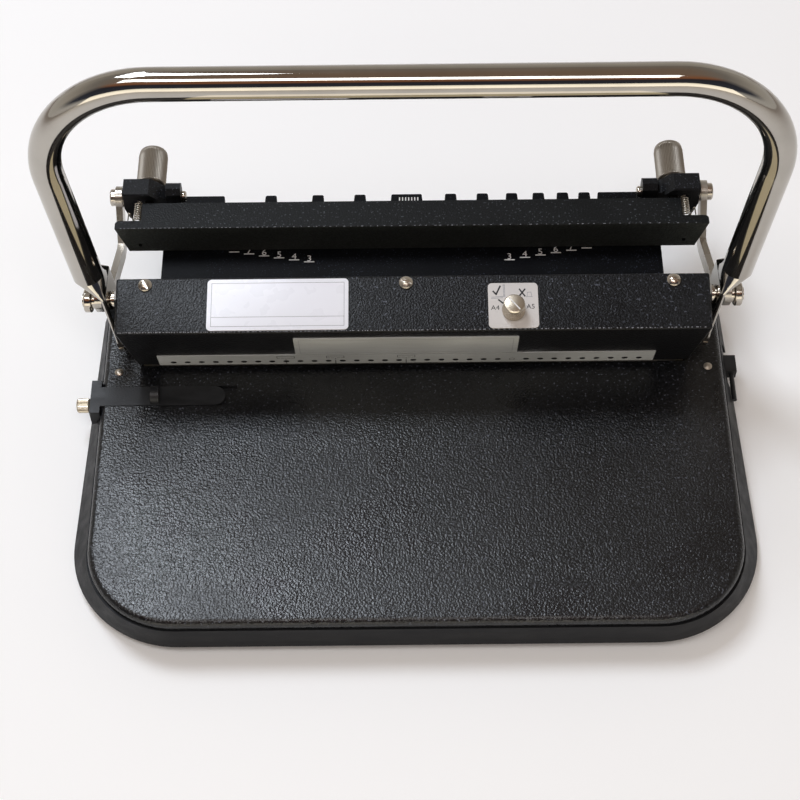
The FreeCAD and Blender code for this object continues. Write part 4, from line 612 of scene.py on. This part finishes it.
# Selector: (height, radius, knurled) rows for the shaft's bore, the tapered grip and the flat top
SELECT_BORE = [(5, 0, 0), (5, 2.5, 0), (0, 2.5, 0)]
SELECT_GRIP = [(0, 6.2, 0), (0.5, 6.6, 0), (0.9, 6.75, 1), (3.0, 6.72, 1), (5.5, 6.5, 1), (7.6, 6.3, 1)]
SELECT_TOP = [(8.2, 6.2, 0), (9.3, 6.05, 0), (9.8, 5.6, 0), (SELECT_H, 5.0, 0), (SELECT_H, 0, 0)]
SELECT_TEETH = 40
SELECT_TOOTH_DEPTH = 0.30
SELECT_LINE = [(-3.0, 3.7), (3.0, -3.7)]
SELECT_LINE_W = 0.8
select_place = ON_TOP @ moved(DIAL_X, KNOB_UP, PLATE_T + SELECT_LIFT)
select = turned("selector_knurled", SELECT_BORE + SELECT_GRIP + SELECT_TOP, select_place, SELECT,
                "selector", "nickel", SELECT_TEETH, SELECT_TOOTH_DEPTH)
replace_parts(select, "selector_knob")
mark = Print(select_place, SELECT_H)
mark.line(SELECT_LINE, SELECT_LINE_W)
mark.piece("selector_line", INK_WHITE, "selector", "plate_white")

# Hood screws, each with its X and the turn of its slot in degrees, and table screws without a slot
HOOD_SCREWS = ((-156.0, -60), (-4.0, -20), (152.0, -29))
HOOD_SCREW_HEAD = dict(head_r=4.0, head_h=2.6, shank_r=1.95, depth=7.0, slot_w=1.0, slot_h=1.1)
TABLE_SCREW_HEAD = dict(head_r=2.6, head_h=1.4, shank_r=1.45, depth=3.0)
screw_up = math.dist(HOOD_TOP_FRONT, HOOD_TOP_BACK) - HOOD_SCREW_IN
hood_places = [ON_TOP @ moved(x, screw_up, 0) @ Matrix.Rotation(math.radians(turn), 4, "Z")
               for x, turn in HOOD_SCREWS]
screws("hood_screw_domes", "hood_screws", HOOD_SCREW_HEAD, hood_places)
table_places = [moved(side * TABLE_SCREW_X, TABLE_SCREW_Y, TABLE_Z) for side in (-1, 1)]
screws("table_screw_domes", "table_screws", TABLE_SCREW_HEAD, table_places)

# Thumbscrew: (height, radius, knurled) rows for the head and the neck, then a rod with a bevelled end
THUMB_HEAD = [(0, 0, 0), (0, 3.4, 0), (0.3, 3.9, 0), (0.7, 4.2, 1), (1.0, 4.4, 1), (4.0, 4.4, 1),
              (7.0, 4.4, 1), (7.3, 4.2, 1), (7.7, 3.9, 0), (8.0, 3.4, 0)]
THUMB_NECK_END = 9.4
THUMB_NECK = [(8.0, 3.0, 0), (THUMB_NECK_END, 3.0, 0)]
THUMB_ROD_R = 2.0
THUMB_BEVEL = 0.5
THUMB_TEETH = 30
THUMB_TOOTH_DEPTH = 0.28
low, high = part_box("guide_thumbscrew")
thumb_y, thumb_z = (low.y + high.y) / 2 / MM, (low.z + high.z) / 2 / MM
thumb_place = moved(low.x / MM, thumb_y, thumb_z) @ Matrix.Rotation(math.pi / 2, 4, "Y")
thumb_l = (high.x - low.x) / MM
thumb_rod = [(THUMB_NECK_END, THUMB_ROD_R, 0), (thumb_l - THUMB_BEVEL, THUMB_ROD_R, 0),
             (thumb_l, THUMB_ROD_R - THUMB_BEVEL, 0), (thumb_l, 0, 0)]
thumb = turned("thumbscrew_knurled", THUMB_HEAD + THUMB_NECK + thumb_rod, thumb_place, BRASS,
               "thumbscrew", "bronze", THUMB_TEETH, THUMB_TOOTH_DEPTH)
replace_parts(thumb, "guide_thumbscrew")


# Jaw springs: close-wound wire with a bent-up eye behind the jaw and a hook in the block

# Points are (outward from the coil's axis, back from the spring's front end, up from the axis)
WIRE_R = 0.425
WIRE_SMOOTH = 60
EYE_UP = [(5.3, 1.0, 2.2), (4.15, 1.0, 7.2)]
EYE_TOP = (3.6, 1.0, 8.1)
EYE_TOP_R = 0.5
EYE_TOP_STEPS = 8
EYE_TOP_ANGLES = (15, 165)
EYE_DOWN = [(2.9, 1.02, 7.0), (2.2, 1.06, 3.4), (2.1, 1.12, 1.6)]
COIL_R = 2.02
COIL_TURNS = 8
COIL_STEPS = 24
COIL_ANGLES = (15, -270 - 360 * COIL_TURNS)
COIL_IN = (1.2, 1.8)
HOOK_OUT = 0.25
HOOK_REACH = 1.4
HOOK_STEPS = 15


def coil(name, word):
    low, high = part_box("jaw_spring_" + word)
    hand = 1 if word == "right" else -1
    front = low.y / MM
    coil_end = (high.y - low.y) / MM - COIL_IN[1]
    points = list(EYE_UP)
    first, last = EYE_TOP_ANGLES
    for i in range(EYE_TOP_STEPS + 1):
        a = math.radians(first + (last - first) * i / EYE_TOP_STEPS)
        x, y, z = EYE_TOP
        points.append((x + EYE_TOP_R * math.cos(a), y, z + EYE_TOP_R * math.sin(a)))
    points += EYE_DOWN
    first, last = COIL_ANGLES
    for i in range(COIL_TURNS * COIL_STEPS + 1):
        share = i / (COIL_TURNS * COIL_STEPS)
        a = math.radians(first + (last - first) * share)
        back = COIL_IN[0] + (coil_end - COIL_IN[0]) * share
        points.append((COIL_R * math.cos(a), back, COIL_R * math.sin(a)))
    for i in range(1, HOOK_STEPS):
        a = math.pi * i / HOOK_STEPS
        points.append((HOOK_OUT, coil_end + HOOK_REACH * math.sin(a), COIL_R * math.cos(a)))
    path = [Vector((hand * (SPRING_X + x), front + y, SPRING_Z + z)) for x, y, z in points]
    spring = new_piece(name, *swept(path, WIRE_R), SPRING, None, "spring_steel", WIRE_SMOOTH)
    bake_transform(spring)
    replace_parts(spring, "jaw_spring_" + word)


coil("coil_spring_left", "left")
coil("coil_spring_right", "right")


# Marks and black hole cups on the silver strip

# Size marks: place in hole pitches from the first hole, and the mark's top above the holes' middle
SIZE_MARKS = ((8.0, -2.1), (11.5, 1.2), (16.5, 1.2))
MARK_FOOT = 0.9
MARK_W = 0.5
TICK = (3.0, 5.0)
BRACKET_W = 0.35
BRACKET_HALF = 5.2
BRACKET_FOOT, BRACKET_TOP = 10.9, 14.2
BRACKET_GAP = (2.6, 3.4)
BRACKET_IN = 0.9
BLANK_RING = (1.75, 1.5)
first_hole = HOLE_MID_X - (HOLE_COUNT - 1) / 2 * HOLE_PITCH
hole_y = STRIP_UP + STRIP_HOLE_UP
strip = Print(ON_FACE, PLATE_T)
for pitches, top in SIZE_MARKS:
    x = first_hole + pitches * HOLE_PITCH
    strip.line([(x, MARK_FOOT), (x, hole_y + top)], MARK_W)
    strip.line([(x, hole_y + TICK[0]), (x, hole_y + TICK[1])], BRACKET_W)
    for side in (-1, 1):
        outer, inner = x + side * BRACKET_HALF, x + side * BRACKET_GAP[1]
        strip.line([(outer, BRACKET_TOP), (outer, BRACKET_FOOT), (inner, BRACKET_FOOT)], BRACKET_W)
        outer, inner = x + side * BRACKET_GAP[0], x + side * BRACKET_IN
        strip.line([(outer, BRACKET_FOOT), (inner, BRACKET_FOOT)], BRACKET_W)
    strip.line([(x - BRACKET_HALF, BRACKET_TOP), (x + BRACKET_HALF, BRACKET_TOP)], BRACKET_W)
strip.ring(first_hole + BLANK_HOLE * HOLE_PITCH, hole_y, *BLANK_RING)
strip.piece("strip_marks", INK, "base", "plate_silver")

CUP_R = 1.78
CUP_INNER_R = 1.72
CUP_FOOT, CUP_FLOOR = 0.02, 0.06
CUP_STEPS = 24
CUP_SMOOTH = 30
CUP_RINGS = ((CUP_R, CUP_FOOT), (CUP_R, PLATE_T), (CUP_INNER_R, PLATE_T), (CUP_INNER_R, CUP_FLOOR))
turn = [2 * math.pi * i / CUP_STEPS for i in range(CUP_STEPS)]
verts, faces = [], []
for k in range(HOLE_COUNT):
    if k == BLANK_HOLE:
        continue
    x = first_hole + k * HOLE_PITCH
    rings = []
    for r, lift in CUP_RINGS:
        rings.append(range(len(verts), len(verts) + CUP_STEPS))
        verts += [ON_FACE @ Vector((x + r * math.cos(a), hole_y + r * math.sin(a), lift)) for a in turn]
    faces += between(rings)
    faces += [list(rings[0])[::-1], list(rings[-1])]
new_piece("strip_hole_rims", verts, faces, INK, "base", "plate_silver", CUP_SMOOTH)


# Painted highlight: short pale dashes along the bent edges where light glints, closest together at the
# left as photographed

# Lengths and gaps of the dashes, and the angles about the bend's axis where a dash starts and ends
DASH_LENGTH = (0.35, 1.5)
DASH_GAP = (0.25, 1.0)
DASH_LOW = (48, 56)
DASH_HIGH = (70, 80)
DASH_FACES = ((0, 1, 4, 3), (1, 2, 5, 4), (6, 9, 10, 7), (7, 10, 11, 8), (0, 3, 9, 6),
              (2, 8, 11, 5), (0, 6, 7, 1), (1, 7, 8, 2), (3, 4, 10, 9), (4, 5, 11, 10))
GAP_GROWTH = 2.5

# Each bend's axis as (y, z), its outer radius and the half length of its painted highlight
HOOD_BEND, HOOD_BEND_R, HOOD_EDGE_HALF = (7.023, 88.037), 1.2, 170.5
JAW_BEND, JAW_BEND_R, JAW_EDGE_HALF = (90.3, 80.2), 0.8, 176.5


# Dashes of painted highlight along one bend
def painted_highlight_edge(name, half, bend, radius, body, seed, closeness):
    draw = random.Random(seed)
    verts, faces = [], []
    x = -half
    while x < half:
        length = draw.uniform(*DASH_LENGTH)
        low = math.radians(draw.uniform(*DASH_LOW))
        high = math.radians(draw.uniform(*DASH_HIGH))
        start = len(verts)
        for r in (radius, radius + PRINT_T):
            for along in (x, x + length):
                for a in (low, (low + high) / 2, high):
                    verts.append(Vector((along, bend[0] - r * math.cos(a), bend[1] + r * math.sin(a))))
        faces += [[start + i for i in f] for f in DASH_FACES]
        sparser = 1 + GAP_GROWTH * (x + half) / (2 * half)
        x += length + draw.uniform(*DASH_GAP) / closeness * sparser
    new_piece(name, verts, faces, EDGE_HIGHLIGHT, body, "table_paint")


painted_highlight_edge("hood_painted_highlight", HOOD_EDGE_HALF, HOOD_BEND, HOOD_BEND_R, "base", seed=7, closeness=1.0)
painted_highlight_edge("jaw_painted_highlight", JAW_EDGE_HALF, JAW_BEND, JAW_BEND_R, "jaw", seed=11, closeness=0.45)


# Border lines on the two plates
NAMEPLATE_INSET = 3
NAMEPLATE_LINE_W = 0.35
INFO_INSET = 2.5
INFO_RULE_UP = 8.5
INFO_LINE_W = 0.3


def frame_corners(x0, x1, y0, y1, inset):
    x0, x1, y0, y1 = x0 + inset, x1 - inset, y0 + inset, y1 - inset
    return [(x0, y0), (x1, y0), (x1, y1), (x0, y1)]


border = Print(ON_FACE, PLATE_T)
name_x0, name_x1 = HOLE_MID_X - NAMEPLATE_L / 2, HOLE_MID_X + NAMEPLATE_L / 2
name_corners = frame_corners(name_x0, name_x1, *NAMEPLATE_Y, NAMEPLATE_INSET)
border.line(name_corners, NAMEPLATE_LINE_W, closed=True)
border.piece("nameplate_border", INK_GREY, "base", "plate_silver")

info = Print(ON_TOP, PLATE_T)
info_x0, info_x1 = INFO_X - INFO_L / 2, INFO_X + INFO_L / 2
info.line(frame_corners(info_x0, info_x1, *INFO_Y, INFO_INSET), INFO_LINE_W, closed=True)
rule_y = INFO_Y[0] + INFO_RULE_UP
info.line([(info_x0 + INFO_INSET, rule_y), (info_x1 - INFO_INSET, rule_y)], INFO_LINE_W)
info.piece("info_border", INK_GREY, "base", "plate_white")


# Dial: sizes, pointer, tick and cross in black and two faint sketches, about the selector's axis
DIAL_TEXTS = (("A4", -10.5, 2.3), ("A5", 10.0, 2.9))
DIAL_TEXT_SIZE = 4.3
DIAL_STROKES = (
    (0.95, ((-8.3, 7.4), (-6.2, 5.5))),
    (0.95, ((-11.4, 13.0), (-9.8, 11.1), (-7.4, 16.3))),
    (0.9, ((3.9, 14.2), (6.8, 9.9))),
    (0.9, ((6.9, 14.2), (3.7, 9.9))),
)
DIAL_SKETCH = (
    (0.4, ((-12.4, 9.2), (-4.6, 9.8))),
    (0.35, ((-12.6, 8.4), (-6.0, 8.8))),
    (0.35, ((-5.4, 10.2), (-5.6, 17.2), (-4.8, 17.2), (-4.8, 10.2))),
    (0.4, ((7.8, 9.4), (11.2, 9.4))),
    (0.35, ((8.2, 10.0), (8.4, 12.2), (10.4, 12.4), (10.8, 10.0))),
)
dial = Print(ON_TOP, PLATE_T)
for words, dx, dy in DIAL_TEXTS:
    dial.text(words, DIAL_X + dx, KNOB_UP + dy, DIAL_TEXT_SIZE)
dial.strokes(DIAL_X, KNOB_UP, DIAL_STROKES)
dial.piece("dial_marks", INK, "base", "plate_white")
faint = Print(ON_TOP, PLATE_T)
faint.strokes(DIAL_X, KNOB_UP, DIAL_SKETCH)
faint.piece("dial_sketch", INK_GREY, "base", "plate_white")


# Closer floor: two rows of dashes with numbers, then the corner brackets and the bars on the middle tooth

# Each row's first X, and its steps in X and Y from dash to dash
NUMBER_ROWS = ((-63.0, -9.25, 1.65), (59.6, 9.55, 1.70))
NUMBERS = ("3", "4", "5", "6", "7", "")
NUMBER_Y = 80.8
NUMBER_UP = 2.5
NUMBER_SIZE = 6.3
NUMBER_DASH_HALF = 2.8
NUMBER_DASH_W = 0.72
numbers = Print(ON_FLOOR, 0.0)
for start_x, step_x, step_y in NUMBER_ROWS:
    for k, digit in enumerate(NUMBERS):
        x, y = start_x + step_x * k, NUMBER_Y + step_y * k
        numbers.line([(x - NUMBER_DASH_HALF, y), (x + NUMBER_DASH_HALF, y)], NUMBER_DASH_W)
        if digit:
            numbers.text(digit, x, y + NUMBER_UP, NUMBER_SIZE)
numbers.piece("closer_numbers", INK_WHITE, "base", "plate_white")

CORNERS_X = ((-146.0, -127.0), (128.5, 147.0))
CORNER_FRONT, CORNER_BEND, CORNER_BACK = 112, 123.6, 125.0
CORNER_CUT = 1.2
CORNER_W = 0.8
BAR_X = -1.6
BAR_STEP = 1.9
BARS_EACH_SIDE = 3
BAR_FRONT, MIDDLE_BAR_FRONT, BAR_BACK = 124.2, 126.0, 130.6
BAR_W = 0.75
marks = Print(ON_FLOOR, 0.0)
for x0, x1 in CORNERS_X:
    outline = [(x0, CORNER_FRONT), (x0, CORNER_BEND), (x0 + CORNER_CUT, CORNER_BACK)]
    outline += [(x1 - CORNER_CUT, CORNER_BACK), (x1, CORNER_BEND), (x1, CORNER_FRONT)]
    marks.line(outline, CORNER_W)
for k in range(-BARS_EACH_SIDE, BARS_EACH_SIDE + 1):
    x = BAR_X + BAR_STEP * k
    marks.line([(x, BAR_FRONT if k else MIDDLE_BAR_FRONT), (x, BAR_BACK)], BAR_W)
marks.piece("gauge_marks", INK_WHITE, "base", "plate_white")


# Camera at the photograph's place
CAMERA_PLACE = (-0.00623, -0.61385, 0.95577)
ELEVATION = math.radians(56.57)
AZIMUTH = math.radians(-0.19)
ROLL = math.radians(-0.76)
LENS = 83.25
SENSOR = 36
forward = Vector((math.sin(AZIMUTH) * math.cos(ELEVATION),
                  math.cos(AZIMUTH) * math.cos(ELEVATION),
                  -math.sin(ELEVATION)))
level = Vector((math.cos(AZIMUTH), -math.sin(AZIMUTH), 0))
over = level.cross(forward)
right = level * math.cos(ROLL) + over * math.sin(ROLL)
up = over * math.cos(ROLL) - level * math.sin(ROLL)
data = bpy.data.cameras.new("camera")
data.sensor_fit = "HORIZONTAL"
data.sensor_width = SENSOR
data.lens = LENS
data.clip_start = 0.05
camera = bpy.data.objects.new("camera", data)
camera.matrix_world = Matrix((
    (right.x, up.x, -forward.x, CAMERA_PLACE[0]),
    (right.y, up.y, -forward.y, CAMERA_PLACE[1]),
    (right.z, up.z, -forward.z, CAMERA_PLACE[2]),
    (0, 0, 0, 1)))
scene.collection.objects.link(camera)
scene.camera = camera


# Floor: a little paler in the picture and in the plating than the lamps alone make it, and, in the
# picture, pale far from them too
FLOOR_REACH = 15
FLOOR_FADE = (0.9, 3.2)
NEAR_GLOW, FAR_GLOW = 0.08, 0.48
floor_corners = [(x * FLOOR_REACH, y * FLOOR_REACH, 0) for x, y in SQUARE]
floor = plain_object("floor", floor_corners, [(0, 1, 2, 3)])
floor_mat, floor_tree, floor_bsdf = material("floor_pale", (0.93, 0.93, 0.93), 0.7, spec=0.2)
floor.data.materials.append(floor_mat)
ray = floor_tree.nodes.new("ShaderNodeLightPath").outputs
away = floor_tree.nodes.new("ShaderNodeVectorMath")
away.operation = "LENGTH"
floor_tree.links.new(coords(floor_tree), away.inputs[0])
seen = math_node(floor_tree, "MAXIMUM", ray["Is Camera Ray"], ray["Is Glossy Ray"])
near_glow = spread(floor_tree, seen, 0.0, NEAR_GLOW, start=0.0, stop=1.0)
far_glow = spread(floor_tree, away.outputs["Value"], 0.0, FAR_GLOW, *FLOOR_FADE)
far_glow = math_node(floor_tree, "MULTIPLY", far_glow, ray["Is Camera Ray"])
glow = math_node(floor_tree, "ADD", near_glow, far_glow)
floor_tree.links.new(glow, floor_bsdf.inputs["Emission Strength"])
floor_bsdf.inputs["Emission Color"].default_value = (1, 1, 1, 1)


# Soft lamps: one above, a cool window behind on the left, a wide warm one in front, and a low warm one
# above the table that lights the handle's legs from below
def area(name, place, aim, size, power, color=(1, 1, 1)):
    light = bpy.data.lights.new(name, "AREA")
    light.shape = "RECTANGLE"
    light.size, light.size_y = size
    light.energy = power
    light.color = color
    obj = bpy.data.objects.new(name, light)
    obj.location = place
    obj.rotation_euler = (Vector(aim) - Vector(place)).to_track_quat("-Z", "Y").to_euler()
    obj.visible_camera = False
    scene.collection.objects.link(obj)


area("top", place=(-0.25, -0.62, 2.05), aim=(0, 0, 0.05), size=(1.7, 0.45), power=12)
area("window", place=(-0.64, 0.78, 1.92), aim=(-0.1, -0.05, 0.05), size=(0.7, 0.7), power=24,
     color=(0.84, 0.91, 1.0))
area("front", place=(0.0, -3.0, 0.7), aim=(0, 0, 0.06), size=(5.0, 1.2), power=30,
     color=(1.0, 0.92, 0.76))
area("bounce", place=(0.01, -0.14, 0.06), aim=(0.01, -0.14, 1.0), size=(0.30, 0.24), power=0.14,
     color=(1.0, 0.86, 0.58))


# Studio around the part: paler at the horizon, dim overhead at the back, and dark with a copper top where
# the camera stands. The picture itself shows a plain pale backdrop.
HORIZON = (0.60, 0.575, 0.54)
OVERHEAD = (0.26, 0.18, 0.13)
BACKDROP = (0.86, 0.86, 0.86)
BACK_STOPS = ((0.0, HORIZON), (0.35, (0.48, 0.44, 0.39)), (0.70, (0.26, 0.235, 0.21)), (1.0, OVERHEAD))
FRONT_STOPS = ((0.12, HORIZON), (0.28, (0.05, 0.055, 0.075)), (0.66, (0.035, 0.035, 0.045)),
               (0.76, (0.34, 0.14, 0.065)), (1.0, OVERHEAD))
FRONT_EDGE = (-0.45, -0.10)
world = bpy.data.worlds.new("world")
world.use_nodes = True
sky = world.node_tree
toward = sky.nodes.new("ShaderNodeTexCoord")
axes = sky.nodes.new("ShaderNodeSeparateXYZ")
sky.links.new(toward.outputs["Generated"], axes.inputs["Vector"])
back = ramp(sky, axes.outputs["Z"], BACK_STOPS)
front = ramp(sky, axes.outputs["Z"], FRONT_STOPS)
toward_front = spread(sky, axes.outputs["Y"], 1.0, 0.0, *FRONT_EDGE)
around = blend_colors(sky, toward_front, back, front)
plain = sky.nodes.new("ShaderNodeRGB").outputs["Color"]
plain.default_value = (*BACKDROP, 1)
in_picture = sky.nodes.new("ShaderNodeLightPath").outputs["Is Camera Ray"]
background = sky.nodes["Background"]
background.inputs["Strength"].default_value = 1.0
sky.links.new(blend_colors(sky, in_picture, around, plain), background.inputs["Color"])
scene.world = world
scene.view_settings.view_transform = "Standard"
